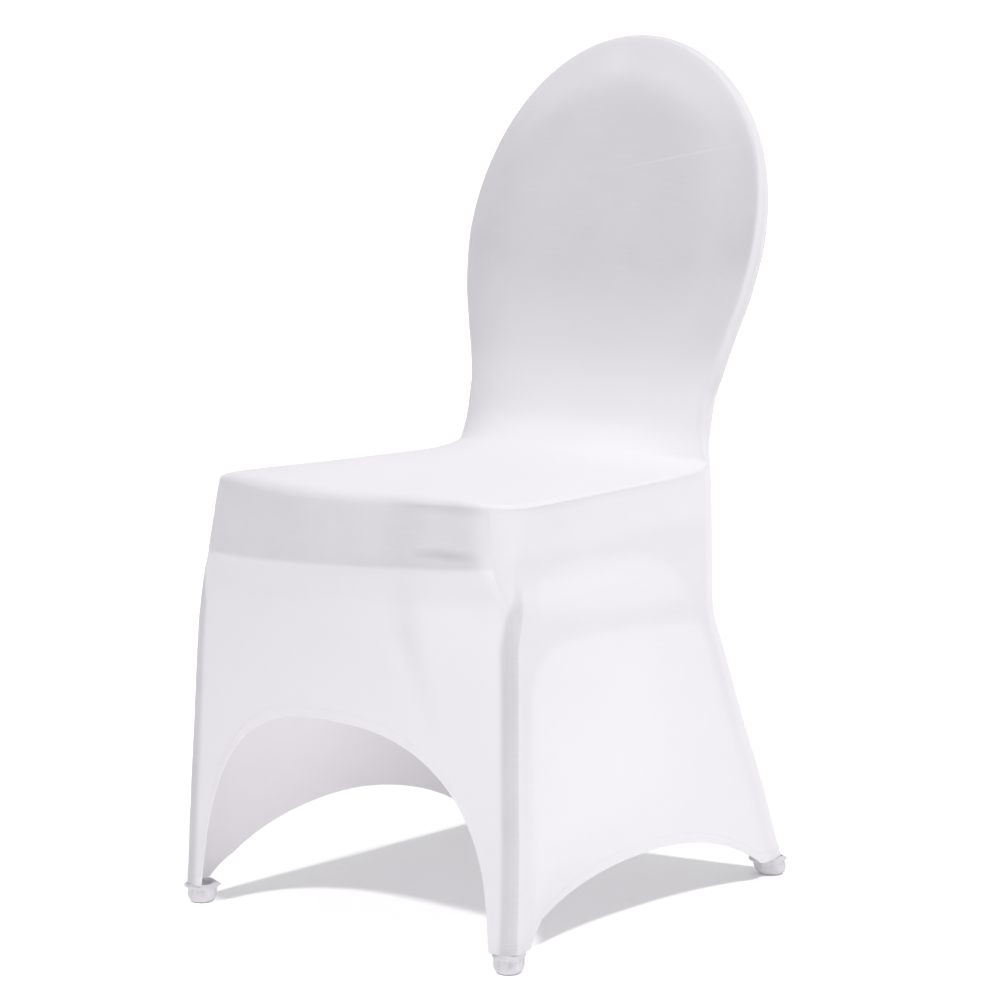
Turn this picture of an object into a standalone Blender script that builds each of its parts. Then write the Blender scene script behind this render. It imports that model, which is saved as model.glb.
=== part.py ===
"""A fitted stretch cover for a round-backed seat, standing as it does when worn.

The knitted cloth is cut in four panels and four foot pockets. One long panel covers the inner
back, the seat and the front; a second covers the outer back; two more close the sides. Each
panel is a thin sheet drawn over a rounded outline, and its hem rises in an arch between the
feet. Metres, +Z up, front towards -Y, floor at z = 0, origin at the middle of the base.
"""
import math

import bpy
import numpy as np

# Driving dimensions
TOTAL_HEIGHT = 0.920
WIDEST_HEIGHT = 0.700            # where the oval back is widest
WIDEST_HALF = 0.1995
CLOTH = 0.0015                   # thickness of the knitted cloth
SEAM_GAP = 0.0002                # each edge stands back this far from its seam
POCKET_TOP = 0.0195
HEM_FLOOR = 0.0210               # lowest edge of every panel, at the feet
SKIRT_TOP = 0.350                # below this height the cloth hangs free between the legs
MIDDLE_SHIFT = -0.0111           # moves the middle of the base onto the origin

# The inner back and seat
PAD_CROWN = 0.012                # how far the middle of the back stands proud of its rim
PAD_POWER = 5.0                  # flat in the middle, turning back near the rim
SEAT_MIDDLE_Y = -0.060
SEAT_MIDDLE_Z = 0.474
SEAT_POWER = 3.0
SEAT_SIDE_Z = 0.4595
SEAT_CORNER_Z = 0.4615
SEAT_FRONT_Z = 0.4700
SIDE_ROLL = 0.0035               # radius over which the seat turns down into the sides
CORNER_ROLL = 0.0045
FRONT_ROLL = 0.0140
CORNER_TURN = math.radians(45)   # the seam runs down each front leg at this turn from the front

# The hems
FRONT_ARCH = {"middle": 0.0, "half": 0.197, "height": 0.230, "power": 2.5}
REAR_ARCH = {"middle": 0.0, "half": 0.186, "height": 0.215, "power": 2.5}
SIDE_ARCH_MIDDLE = 0.005
SIDE_ARCH_HEIGHT = 0.079
SIDE_ARCH_FRONT = (0.213, 0.52)  # half length and power towards the front foot
SIDE_ARCH_REAR = (0.240, 0.80)
HEM_PULL = 0.012                 # a side hem is drawn in this far beside the front foot
HEM_PULL_RISE = 0.080            # height above the hem over which the pull dies out
HEM_PULL_FULL = 0.23             # share of the way along the side where the pull is greatest
HEM_PULL_END = 0.62

# Grid lines, as shares of the way from the middle to a seam
RIM_START = 0.86                 # from here out the cloth turns over an edge
ACROSS = (0.0, 0.13, 0.26, 0.39, 0.50, 0.60, 0.69, 0.76, 0.82, 0.86, 0.89, 0.925, 0.965, 1.0)
CAP_LINES = (0.0, 0.14, 0.28, 0.42, 0.55, 0.67, 0.77, 0.86, 0.89, 0.925, 0.965, 1.0)
LAP_LINES = (0.07, 0.15, 0.23, 0.31, 0.39, 0.46, 0.53, 0.60, 0.67, 0.73, 0.79, 0.83, 0.86, 0.89,
             0.91, 0.93, 0.95, 0.97, 0.985)
SKIRT_LINES = (0.0, 0.10, 0.19, 0.25, 0.32, 0.40, 0.49, 0.59, 0.69, 0.78, 0.86, 0.93, 1.0)
BAND_SHARE = 0.40                # share of the skirt lines that lie above SKIRT_TOP

# Foot pockets
POCKET_SIDES = 20
FRONT_POCKET = 0.0155            # outer radius
REAR_POCKET = 0.0175
POCKET_FLARE = 0.0040            # how far the seam allowance stands out at the top

CLOTH_COLOUR = (0.86, 0.86, 0.875, 1.0)
POCKET_COLOUR = (0.80, 0.80, 0.82, 1.0)


def table(names, *rows):
    """A short table: one row for each section, one named column for each measure."""
    return dict(zip(names, np.array(rows, dtype=float).T))


# Front corner of the outline at each height: its outermost side and front, its radius, and
# how far the middle of the front stands forward of the corners.
FRONT_CORNER = table(
    ("height", "side", "front", "radius", "bow"),
    (0.000, 0.2271, -0.2370, 0.0155, 0.0015),
    (0.100, 0.2262, -0.2315, 0.0155, 0.0075),
    (0.200, 0.2221, -0.2275, 0.0155, 0.0198),
    (0.300, 0.2183, -0.2230, 0.0155, 0.0313),
    (0.355, 0.2130, -0.2200, 0.0170, 0.0385),
    (0.385, 0.2040, -0.2280, 0.0280, 0.0340),
    (0.412, 0.2017, -0.2340, 0.0445, 0.0300),
    (0.435, 0.2012, -0.2345, 0.0530, 0.0290),
    (0.470, 0.2005, -0.2355, 0.0700, 0.0280),
)

# Rear leg, and above it the rim of the back: outermost half width, middle of its depth,
# radius of its corners, flat between each corner and the middle, and the bow of the rear face.
REAR_CORNER = table(
    ("height", "half_width", "centre_y", "radius", "flat", "bow"),
    (0.000, 0.2095, 0.2620, 0.0145, 0.0000, 0.002),
    (0.100, 0.2072, 0.2235, 0.0145, 0.0000, 0.003),
    (0.200, 0.2057, 0.1780, 0.0145, 0.0000, 0.006),
    (0.270, 0.2050, 0.1475, 0.0145, 0.0000, 0.035),
    (0.320, 0.2030, 0.1290, 0.0145, 0.0000, 0.053),
    (0.370, 0.1940, 0.1400, 0.0145, 0.0000, 0.043),
    (0.440, 0.1786, 0.1587, 0.0145, 0.0000, 0.026),
    (0.500, 0.1657, 0.1745, 0.0145, 0.0000, 0.012),
    (0.530, 0.1660, 0.1810, 0.0145, 0.0000, 0.008),
    (0.560, 0.1728, 0.1885, 0.0125, 0.0000, 0.006),
    (0.600, 0.1825, 0.1965, 0.0090, 0.0022, 0.004),
    (0.650, 0.1942, 0.2090, 0.0070, 0.0040, 0.004),
    (0.700, 0.1995, 0.2220, 0.0070, 0.0040, 0.004),
    (0.800, 0.1777, 0.2490, 0.0070, 0.0040, 0.004),
    (0.920, 0.0000, 0.2770, 0.0070, 0.0040, 0.004),
)

# The inner back below its widest part and the lap of the seat: where the side seam runs, how
# far the surface beside it is tipped up, how it turns over its edge, and the middle line.
LAP = table(
    ("station", "seam_y", "seam_z", "tip", "radius", "flat", "middle_y", "middle_z", "power"),
    (0.00, 0.2220, 0.7000, 14.5, 0.0070, 0.0040, 0.1997, 0.7058, 5.0),
    (0.15, 0.2090, 0.6500, 14.5, 0.0070, 0.0040, 0.1862, 0.6560, 5.0),
    (0.28, 0.1965, 0.6000, 15.0, 0.0090, 0.0022, 0.1715, 0.6060, 4.5),
    (0.40, 0.1885, 0.5600, 17.0, 0.0125, 0.0000, 0.1570, 0.5660, 4.0),
    (0.50, 0.1810, 0.5300, 20.0, 0.0145, 0.0000, 0.1400, 0.5350, 3.4),
    (0.60, 0.1745, 0.5000, 30.0, 0.0145, 0.0000, 0.1180, 0.5080, 3.0),
    (0.68, 0.1690, 0.4780, 47.0, 0.0120, 0.0000, 0.0920, 0.4920, 2.6),
    (0.73, 0.1645, 0.4620, 66.0, 0.0080, 0.0000, 0.0700, 0.4835, 2.5),
    (0.79, 0.1400, 0.4575, 85.0, 0.0050, 0.0000, 0.0480, 0.4790, 2.5),
    (0.86, 0.1050, 0.4562, 90.0, 0.0035, 0.0000, 0.0250, 0.4760, 2.6),
    (0.93, 0.0300, 0.4560, 90.0, 0.0035, 0.0000, -0.0180, 0.4745, 2.8),
    (1.00, -0.0600, 0.4560, 90.0, 0.0035, 0.0000, -0.0600, 0.4740, 3.0),
)
TRIPLE_STATION = 0.73            # here the front, side and rear panels meet


def read(source, name, at):
    """A named column at any place between the rows, on a smooth curve that never overshoots."""
    key = source[next(iter(source))]
    column = source[name]
    step = np.diff(key)
    slope = np.diff(column) / step
    product = slope[:-1] * slope[1:]
    total = slope[:-1] + slope[1:]
    inner = np.where(product > 0, 2 * product / np.where(total == 0, 1, total), 0)
    tangent = np.concatenate((slope[:1], inner, slope[-1:]))
    i = np.clip(np.searchsorted(key, at, side="right") - 1, 0, len(step) - 1)
    u = np.clip((at - key[i]) / step[i], 0, 1)
    left = (1 + 2 * u) * (1 - u) ** 2 * column[i] + u * (1 - u) ** 2 * step[i] * tangent[i]
    right = u ** 2 * (3 - 2 * u) * column[i + 1] + u ** 2 * (u - 1) * step[i] * tangent[i + 1]
    return left + right


def share(value, start, end):
    """How far value lies from start to end, held between 0 and 1."""
    return np.clip((value - start) / (end - start), 0, 1)


def over_rim(way, radius, flat, start, end):
    """Turn reached, and flat run past it, at a share of the way over a rounded rim."""
    arc = radius * (end - start)
    run = way * (arc + flat)
    return start + np.minimum(run, arc) / radius, np.maximum(run - arc, 0)


def front_line(height, across):
    """Outline of the front at a height, from its middle to the seam down the leg."""
    side = read(FRONT_CORNER, "side", height)
    radius = read(FRONT_CORNER, "radius", height)
    centre_x = side - radius
    centre_y = read(FRONT_CORNER, "front", height) + radius
    turn = np.arctan(2 * read(FRONT_CORNER, "bow", height) / centre_x)
    end_x = centre_x + radius * np.sin(turn)
    end_y = centre_y - radius * np.cos(turn)
    x = end_x * np.minimum(across / RIM_START, 1)
    curve = np.tan(turn) / (2 * end_x)
    angle = turn + (CORNER_TURN - turn) * share(across, RIM_START, 1)
    round_part = across > RIM_START
    x = np.where(round_part, centre_x + radius * np.sin(angle), x)
    y = np.where(round_part, centre_y - radius * np.cos(angle), end_y - curve * (end_x ** 2 - x ** 2))
    return x, y, np.where(round_part, angle, np.arctan(2 * curve * x))


def side_turn(height):
    """Direction in which the straight side faces, as a turn from the front."""
    front_radius = read(FRONT_CORNER, "radius", height)
    rear_radius = read(REAR_CORNER, "radius", height)
    run_x = (read(REAR_CORNER, "half_width", height) - rear_radius
             - read(FRONT_CORNER, "side", height) + front_radius)
    run_y = read(REAR_CORNER, "centre_y", height) - read(FRONT_CORNER, "front", height) - front_radius
    run = np.hypot(run_x, run_y)
    return math.pi / 2 - np.arctan2(run_x, run_y) + np.arcsin((front_radius - rear_radius) / run)


def side_line(height, along):
    """Outline of the side at a height, from the front leg's seam to the rear leg's seam."""
    front_radius = read(FRONT_CORNER, "radius", height)
    rear_radius = read(REAR_CORNER, "radius", height)
    turn = side_turn(height)
    angle = CORNER_TURN + (turn - CORNER_TURN) * share(along, 0, 1 - RIM_START)
    front_x = read(FRONT_CORNER, "side", height) - front_radius + front_radius * np.sin(angle)
    front_y = read(FRONT_CORNER, "front", height) + front_radius - front_radius * np.cos(angle)
    rear_x = read(REAR_CORNER, "half_width", height) - rear_radius + rear_radius * np.sin(turn)
    rear_y = read(REAR_CORNER, "centre_y", height) - rear_radius * np.cos(turn)
    way = share(along, 1 - RIM_START, 1)
    return front_x + (rear_x - front_x) * way, front_y + (rear_y - front_y) * way


def arch(distance, half, height, power):
    """Height of a hem above the floor at a distance from the arch's middle."""
    return height * np.clip(1 - (np.abs(distance) / half) ** power, 0, 1) ** (1 / power)


def side_arch(y):
    """Height of a side hem, which falls more steeply to the front foot than to the rear."""
    distance = y - SIDE_ARCH_MIDDLE
    half = np.where(distance < 0, SIDE_ARCH_FRONT[0], SIDE_ARCH_REAR[0])
    power = np.where(distance < 0, SIDE_ARCH_FRONT[1], SIDE_ARCH_REAR[1])
    return SIDE_ARCH_HEIGHT * np.clip(1 - (distance / half) ** 2, 0, 1) ** power


def hem_height(place, hem):
    """Where each column of a panel meets its hem; place(height) gives the column's position."""
    low = np.full_like(place(HEM_FLOOR), HEM_FLOOR)
    high = np.full_like(low, SKIRT_TOP)
    floor_reached = hem(place(low)) <= HEM_FLOOR
    for _ in range(30):
        middle = (low + high) / 2
        above = middle > hem(place(middle))
        high = np.where(above, middle, high)
        low = np.where(above, low, middle)
    return np.where(floor_reached, HEM_FLOOR, (low + high) / 2)


def skirt_height(top, hem, line):
    """Heights along a skirt column: first the band beside the seat, then the free cloth."""
    band = top + (SKIRT_TOP - top) * share(line, 0, BAND_SHARE)
    return np.where(line < BAND_SHARE, band, SKIRT_TOP + (hem - SKIRT_TOP) * share(line, BAND_SHARE, 1))


def lean(height):
    """Forward tip of the back's face, taken from the slope of its rim."""
    step = 0.02
    rise = read(REAR_CORNER, "centre_y", height + step) - read(REAR_CORNER, "centre_y", height - step)
    return np.arctan(rise / (2 * step))


def oval_cap(across, up, facing, crown, power):
    """The top half of the back, on its front (facing 1) or rear (facing -1)."""
    reach = np.maximum(np.maximum(np.abs(across), up), 1e-9)
    beside = np.abs(across) >= up
    quarter = math.pi / 4
    angle = np.where(beside, quarter * up / reach, 2 * quarter - quarter * np.abs(across) / reach)
    rise = TOTAL_HEIGHT - WIDEST_HEIGHT
    out_x = np.cos(angle) / WIDEST_HALF
    out_z = np.sin(angle) / rise
    size = np.hypot(out_x, out_z)
    radius = read(REAR_CORNER, "radius", WIDEST_HEIGHT)
    flat = read(REAR_CORNER, "flat", WIDEST_HEIGHT)
    start = math.atan(power * crown / WIDEST_HALF)
    inward = radius * (1 - math.sin(start))
    edge_x = WIDEST_HALF * np.cos(angle) - inward * out_x / size
    edge_z = rise * np.sin(angle) - inward * out_z / size
    inner = np.minimum(reach / RIM_START, 1)
    turn, band = over_rim(share(reach, RIM_START, 1), radius, flat, start, math.pi / 2)
    out = np.where(reach > RIM_START, radius * (np.sin(turn) - math.sin(start)), 0)
    x = edge_x * inner + out * out_x / size
    z = WIDEST_HEIGHT + edge_z * inner + out * out_z / size
    face = crown * (1 - inner ** power) - radius * (1 - math.cos(start))
    depth = np.where(reach > RIM_START, -radius * (1 - np.cos(turn)) - band, face)
    off = (radius + flat + depth) * facing
    tip = lean(np.minimum(z, TOTAL_HEIGHT - 0.021))
    y = read(REAR_CORNER, "centre_y", z) - off * np.cos(tip)
    return np.stack((np.where(across < 0, -x, x), y, z + off * np.sin(tip)), -1)


def seat_side(y):
    """The straight side of the seat, from the front corner's tangent to the rear leg."""
    top = SEAT_SIDE_Z - SIDE_ROLL
    front_x, front_y = side_line(top, 1 - RIM_START)
    rear_z = read(LAP, "seam_z", TRIPLE_STATION)
    rear_x = read(REAR_CORNER, "half_width", rear_z)
    rear_y = read(REAR_CORNER, "centre_y", rear_z)
    return front_x + (rear_x - front_x) * (y - front_y) / (rear_y - front_y)


def seam_line(station):
    """The seam beside the inner back and the seat: up the rim, or along the seat's side."""
    z = read(LAP, "seam_z", station)
    if station <= TRIPLE_STATION:
        return read(REAR_CORNER, "half_width", z), read(REAR_CORNER, "centre_y", z), z
    y = read(LAP, "seam_y", station)
    return seat_side(y), y, z


def lap(across, station):
    """The inner back below its widest part, flowing into the seat."""
    def at(name):
        return read(LAP, name, station)
    seam_x, seam_y, seam_z = seam_line(station)
    tip = np.radians(at("tip"))
    depth = at("radius") + at("flat")
    edge_y = seam_y - depth * np.cos(tip)
    edge_z = seam_z + depth * np.sin(tip)
    rise_y = at("middle_y") - edge_y
    rise_z = at("middle_z") - edge_z
    crown = np.maximum(-rise_y * np.cos(tip) + rise_z * np.sin(tip), 0)
    side = np.abs(across)
    start = np.arctan(at("power") * crown / seam_x)
    radius = at("radius")
    inner = np.minimum(side / RIM_START, 1)
    turn, band = over_rim(share(side, RIM_START, 1), radius, at("flat"), start, math.pi / 2)
    edge_x = seam_x - radius * (1 - np.sin(start))
    round_part = side > RIM_START
    x = np.where(round_part, seam_x - radius * (1 - np.sin(turn)), edge_x * inner)
    fall = np.where(round_part, radius * (1 - np.cos(turn)) + band, radius * (1 - np.cos(start)))
    fade = np.where(round_part, 0, 1 - inner ** at("power"))
    y = edge_y + rise_y * fade + fall * np.cos(tip)
    z = edge_z + rise_z * fade - fall * np.sin(tip)
    return np.stack((np.where(across < 0, -x, x), y, z), -1)


def seat_cap(across, forward):
    """The front half of the seat, out to its rolled edge."""
    side = np.abs(across)
    reach = np.maximum(np.maximum(side, forward), 1e-9)
    beside = side >= forward
    top = SEAT_SIDE_Z - SIDE_ROLL
    ratio = np.where(beside, forward, side) / reach
    front_x, front_y, front_turn = front_line(top, np.where(beside, 1, ratio))
    turn = side_turn(top)
    corner = RIM_START
    angle = turn + (CORNER_TURN - turn) * share(ratio, corner, 1)
    radius = read(FRONT_CORNER, "radius", top)
    arc_x = read(FRONT_CORNER, "side", top) - radius + radius * np.sin(angle)
    arc_y = read(FRONT_CORNER, "front", top) + radius - radius * np.cos(angle)
    way = share(ratio, 0, corner)
    middle_x = seat_side(SEAT_MIDDLE_Y)
    side_x = middle_x + (arc_x - middle_x) * way
    side_y = SEAT_MIDDLE_Y + (arc_y - SEAT_MIDDLE_Y) * way
    out_x = np.where(beside, side_x, front_x)
    out_y = np.where(beside, side_y, front_y)
    face = np.where(beside, angle, front_turn)
    corner_share = np.where(beside, ratio ** 2, ratio ** 6)
    level = np.where(beside, SEAT_SIDE_Z, SEAT_FRONT_Z)
    level = level + (SEAT_CORNER_Z - level) * corner_share
    roll = np.where(beside, SIDE_ROLL, FRONT_ROLL)
    roll = roll + (CORNER_ROLL - roll) * np.where(beside, ratio ** 2, ratio ** 3)
    crown = SEAT_MIDDLE_Z - level
    start = np.arctan(SEAT_POWER * crown / WIDEST_HALF)
    inward = roll * (1 - np.sin(start))
    edge_x = out_x - inward * np.sin(face)
    edge_y = out_y + inward * np.cos(face)
    inner = np.minimum(reach / RIM_START, 1)
    turn = start + (math.pi / 2 - start) * share(reach, RIM_START, 1)
    out = np.where(reach > RIM_START, roll * (np.sin(turn) - np.sin(start)), 0)
    x = edge_x * inner + out * np.sin(face)
    y = SEAT_MIDDLE_Y + (edge_y - SEAT_MIDDLE_Y) * inner - out * np.cos(face)
    dome = SEAT_MIDDLE_Z - (crown + roll * (1 - np.cos(start))) * inner ** SEAT_POWER
    z = np.where(reach > RIM_START, level - roll * (1 - np.cos(turn)), dome)
    return np.stack((np.where(across < 0, -x, x), y, z), -1)


def front_skirt(across, line, top):
    """The front below the seat's edge, down to its arched hem."""
    side = np.abs(across)
    hem = hem_height(lambda height: front_line(height, side)[0] + 0 * height,
                     lambda x: arch(x - FRONT_ARCH["middle"], FRONT_ARCH["half"],
                                    FRONT_ARCH["height"], FRONT_ARCH["power"]))
    height = skirt_height(top, hem, line)
    x, y, _ = front_line(height, side)
    return np.stack((np.where(across < 0, -x, x), y, height), -1)


def rear_wall(across, height):
    """The outer back and rear skirt at a height below the widest part."""
    side = np.abs(across)
    radius = read(REAR_CORNER, "radius", height)
    flat = read(REAR_CORNER, "flat", height)
    half_width = read(REAR_CORNER, "half_width", height)
    bow = read(REAR_CORNER, "bow", height)
    upper = share(height, 0.40, read(LAP, "seam_z", TRIPLE_STATION))
    end_turn = math.pi / 2 + (1 - upper) * (math.pi / 2 - side_turn(height))
    tip = lean(WIDEST_HEIGHT) * share(height, 0.45, 0.60)
    start = np.arctan(2 * bow / (half_width - radius))
    turn, band = over_rim(share(side, RIM_START, 1), radius, flat, start, end_turn)
    inner = np.minimum(side / RIM_START, 1)
    edge_x = half_width - radius * (1 - np.sin(start))
    round_part = side > RIM_START
    x = np.where(round_part, half_width - radius * (1 - np.sin(turn)), edge_x * inner)
    face = bow * (1 - inner ** 2) - radius * (1 - np.cos(start))
    fall = np.where(round_part, -radius * (1 - np.cos(turn)) - band, face)
    off = radius + flat + fall
    y = read(REAR_CORNER, "centre_y", height) + off * np.cos(tip)
    return np.stack((np.where(across < 0, -x, x), y, height - off * np.sin(tip)), -1)


def mirrored(shares):
    """Grid lines from one seam to the other."""
    half = np.array(shares)
    return np.concatenate((-half[:0:-1], half))


def front_panel():
    """Inner back, seat and front skirt in one length, from the top of the back to the hem."""
    across = mirrored(ACROSS)
    rows = [oval_cap(across, up, 1, PAD_CROWN, PAD_POWER) for up in CAP_LINES[::-1]]
    rows += [lap(across, station) for station in LAP_LINES]
    rows += [seat_cap(across, forward) for forward in CAP_LINES]
    top = rows[-1][:, 2]
    rows += [front_skirt(across, line, top) for line in SKIRT_LINES[1:]]
    return np.array(rows)


def side_seam():
    """The seam along the seat's side, from the front corner back to where three panels meet."""
    rows = [seat_cap(np.array([1.0]), forward)[0] for forward in CAP_LINES[::-1]]
    stations = [station for station in LAP_LINES[::-1] if station >= TRIPLE_STATION]
    return np.array(rows + [lap(np.array([1.0]), station)[0] for station in stations])


def side_panel(hand):
    """One side, between the seat's seam and an arched hem. hand is 1 on the right, -1 left."""
    seam = side_seam()
    x, y = seam[:, 0], seam[:, 1]
    top = seam[:, 2] - SEAM_GAP
    corner_x, corner_y = side_line(top, np.zeros_like(top))
    tangent_y = side_line(top, np.full_like(top, 1 - RIM_START))[1]
    rear_y = side_line(top, np.ones_like(top))[1]
    radius = read(FRONT_CORNER, "radius", top)
    centre_y = read(FRONT_CORNER, "front", top) + radius
    angle = np.arccos(np.clip((centre_y - y) / radius, -1, 1))
    on_corner = (1 - RIM_START) * share(angle, CORNER_TURN, side_turn(top))
    on_side = (1 - RIM_START) + RIM_START * share(y, tangent_y, rear_y)
    along = np.where(y < tangent_y, on_corner, on_side)
    hem = hem_height(lambda height: side_line(height, along)[1] + 0 * height, side_arch)
    plain_x, plain_y = side_line(top, along)
    pull = HEM_PULL * share(along, 1 - RIM_START, HEM_PULL_FULL)
    pull = pull * (1 - share(along, HEM_PULL_FULL, HEM_PULL_END))
    rows = []
    for line in SKIRT_LINES:
        height = skirt_height(top, hem, line)
        row_x, row_y = side_line(height, along)
        near_seam = (1 - share(line, 0, BAND_SHARE)) ** 2
        row_x = row_x + (x - plain_x) * near_seam
        row_x = row_x - pull * (1 - share(height - hem, 0, HEM_PULL_RISE)) ** 2
        row_y = row_y + (y - plain_y) * near_seam
        # the last column is the rear panel's own edge
        row_x[-1], row_y[-1] = rear_wall(np.ones(1), height[-1:])[0, :2]
        rows.append(np.stack((row_x * hand, row_y, height), -1))
    grid = np.array(rows)
    return grid if hand > 0 else grid[:, ::-1]


def rear_panel():
    """The outer back and rear skirt, from the top of the back to the rear hem."""
    across = mirrored(ACROSS)
    side = np.abs(across)
    rows = [oval_cap(across, up, -1, read(REAR_CORNER, "bow", 0.8), 2.0) for up in CAP_LINES[:0:-1]]
    stations = [0.0] + [station for station in LAP_LINES if station < TRIPLE_STATION]
    rows += [rear_wall(across, read(LAP, "seam_z", station) + 0 * side) for station in stations]
    top = np.full_like(side, read(LAP, "seam_z", TRIPLE_STATION))
    hem = hem_height(lambda height: np.abs(rear_wall(across, height + 0 * side)[:, 0]),
                     lambda x: arch(x - REAR_ARCH["middle"], REAR_ARCH["half"],
                                    REAR_ARCH["height"], REAR_ARCH["power"]))
    rows += [rear_wall(across, skirt_height(top, hem, line)) for line in SKIRT_LINES]
    return np.array(rows)[:, ::-1]


def stand_back(grid):
    """Draw the edges of a grid in a little, so that neighbouring panels keep a gap."""
    out = grid.copy()
    for edge, inside in ((np.s_[0], np.s_[1]), (np.s_[-1], np.s_[-2]),
                         (np.s_[:, 0], np.s_[:, 1]), (np.s_[:, -1], np.s_[:, -2])):
        way = grid[inside] - grid[edge]
        out[edge] += SEAM_GAP * way / np.linalg.norm(way, axis=-1, keepdims=True)
    return out


def cloth_material(name, colour):
    """Matt knitted cloth."""
    material = bpy.data.materials.new(name)
    material.use_nodes = True
    shader = material.node_tree.nodes["Principled BSDF"]
    shader.inputs["Base Color"].default_value = colour
    shader.inputs["Roughness"].default_value = 0.8
    shader.inputs["Metallic"].default_value = 0.0
    return material


def add_object(name, points, faces, colour):
    """One named object with its own material, shaded smooth."""
    mesh = bpy.data.meshes.new(name)
    moved = [(x, y + MIDDLE_SHIFT, z) for x, y, z in points]
    mesh.from_pydata(moved, [], faces)
    mesh.validate()
    mesh.shade_smooth()
    mesh.materials.append(cloth_material(name, colour))
    thing = bpy.data.objects.new(name, mesh)
    bpy.context.collection.objects.link(thing)
    return thing


def outward(grid, upright=()):
    """Direction square to a grid at each point. The ends of the upright rows face level."""
    down_steps = np.linalg.norm(np.diff(grid, axis=0), axis=-1).mean(axis=1)
    across_steps = np.linalg.norm(np.diff(grid, axis=1), axis=-1).mean(axis=0)
    down = np.concatenate(((0,), np.cumsum(down_steps)))
    across = np.concatenate(((0,), np.cumsum(across_steps)))
    square = np.cross(np.gradient(grid, down, axis=0, edge_order=2),
                      np.gradient(grid, across, axis=1, edge_order=2))
    square /= np.linalg.norm(square, axis=-1, keepdims=True)
    for corner, beside, below in (((0, 0), (0, 1), (1, 0)), ((0, -1), (0, -2), (1, -1))):
        middle = square[beside] + square[below]
        square[corner] = middle / np.linalg.norm(middle)
    for row in upright:
        square[row, (0, -1), 2] = 0
    return square / np.linalg.norm(square, axis=-1, keepdims=True)


def add_sheet(name, grid, upright=()):
    """A panel: its outer face is the grid, and its thickness goes inwards."""
    outer = stand_back(grid)
    inner = outer - CLOTH * outward(grid, upright)
    rows, columns = grid.shape[:2]
    size = rows * columns
    index = np.arange(size).reshape(rows, columns)
    a, b = index[:-1, :-1], index[1:, :-1]
    c, d = index[1:, 1:], index[:-1, 1:]
    face = np.stack((a, b, c, d), -1).reshape(-1, 4)
    rim = np.concatenate((index[:-1, 0], index[-1, :-1], index[:0:-1, -1], index[0, :0:-1]))
    after = np.roll(rim, -1)
    edge = np.stack((rim, rim + size, after + size, after), -1)
    faces = np.concatenate((face, face[:, ::-1] + size, edge)).tolist()
    points = np.concatenate((outer.reshape(-1, 3), inner.reshape(-1, 3))).tolist()
    add_object(name, points, faces, CLOTH_COLOUR)


def add_pocket(name, centre_x, radius, axis):
    """A cup sewn on at a foot: flat below, round at its edge, flared at its sewn top."""
    edge = 0.006                 # radius of the rounded lower edge
    profile = [(radius - edge, 0.0)]
    for step in (1, 2, 3):
        angle = math.radians(30 * step)
        profile.append((radius - edge + edge * math.sin(angle), edge * (1 - math.cos(angle))))
    profile.append((radius, 0.0140))
    profile.append((radius + POCKET_FLARE, 0.0180))
    profile.append((radius + POCKET_FLARE, POCKET_TOP))
    profile.append((radius - CLOTH, POCKET_TOP))
    profile.append((radius - CLOTH, edge))
    profile.append((radius - edge, CLOTH))
    points = []
    for ring, height in profile:
        middle_x, middle_y = axis(height)
        for k in range(POCKET_SIDES):
            angle = 2 * math.pi * k / POCKET_SIDES
            points.append((centre_x * middle_x + ring * math.cos(angle),
                           middle_y + ring * math.sin(angle), height))
    faces = []
    for level in range(len(profile) - 1):
        for k in range(POCKET_SIDES):
            a = level * POCKET_SIDES + k
            b = level * POCKET_SIDES + (k + 1) % POCKET_SIDES
            faces.append((a, b, b + POCKET_SIDES, a + POCKET_SIDES))
    last = (len(profile) - 1) * POCKET_SIDES
    faces.append(tuple(range(POCKET_SIDES))[::-1])
    faces.append(tuple(range(last, last + POCKET_SIDES)))
    add_object(name, points, faces, POCKET_COLOUR)


def front_foot(height):
    """Axis of a front leg."""
    radius = read(FRONT_CORNER, "radius", height)
    return read(FRONT_CORNER, "side", height) - radius, read(FRONT_CORNER, "front", height) + radius


def rear_foot(height):
    """Axis of a rear leg."""
    radius = read(REAR_CORNER, "radius", height)
    return read(REAR_CORNER, "half_width", height) - radius, read(REAR_CORNER, "centre_y", height)


def main():
    for thing in list(bpy.data.objects):
        bpy.data.objects.remove(thing, do_unlink=True)
    seat_rows = len(CAP_LINES) + len(LAP_LINES)
    add_sheet("front_panel", front_panel(), range(seat_rows, seat_rows + len(CAP_LINES)))
    add_sheet("rear_panel", rear_panel())
    add_sheet("side_panel_right", side_panel(1))
    add_sheet("side_panel_left", side_panel(-1))
    for hand, word in ((1, "right"), (-1, "left")):
        add_pocket("foot_pocket_front_" + word, hand, FRONT_POCKET, front_foot)
        add_pocket("foot_pocket_rear_" + word, hand, REAR_POCKET, rear_foot)


main()
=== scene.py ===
"""The fitted stretch cover as the photograph shows it: white knitted cloth over a round back,
a smooth seat and long skirts, standing on a pale studio floor.

Each panel is drawn again as a fine grid over the same outline as its solid, with its seams, hems,
creases, the places where it lies tight on what is under it, and painted shade and highlights. Metres, +Z
up, front to -Y.
"""
import math

import bpy
import numpy as np
from mathutils import Matrix, Vector


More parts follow.
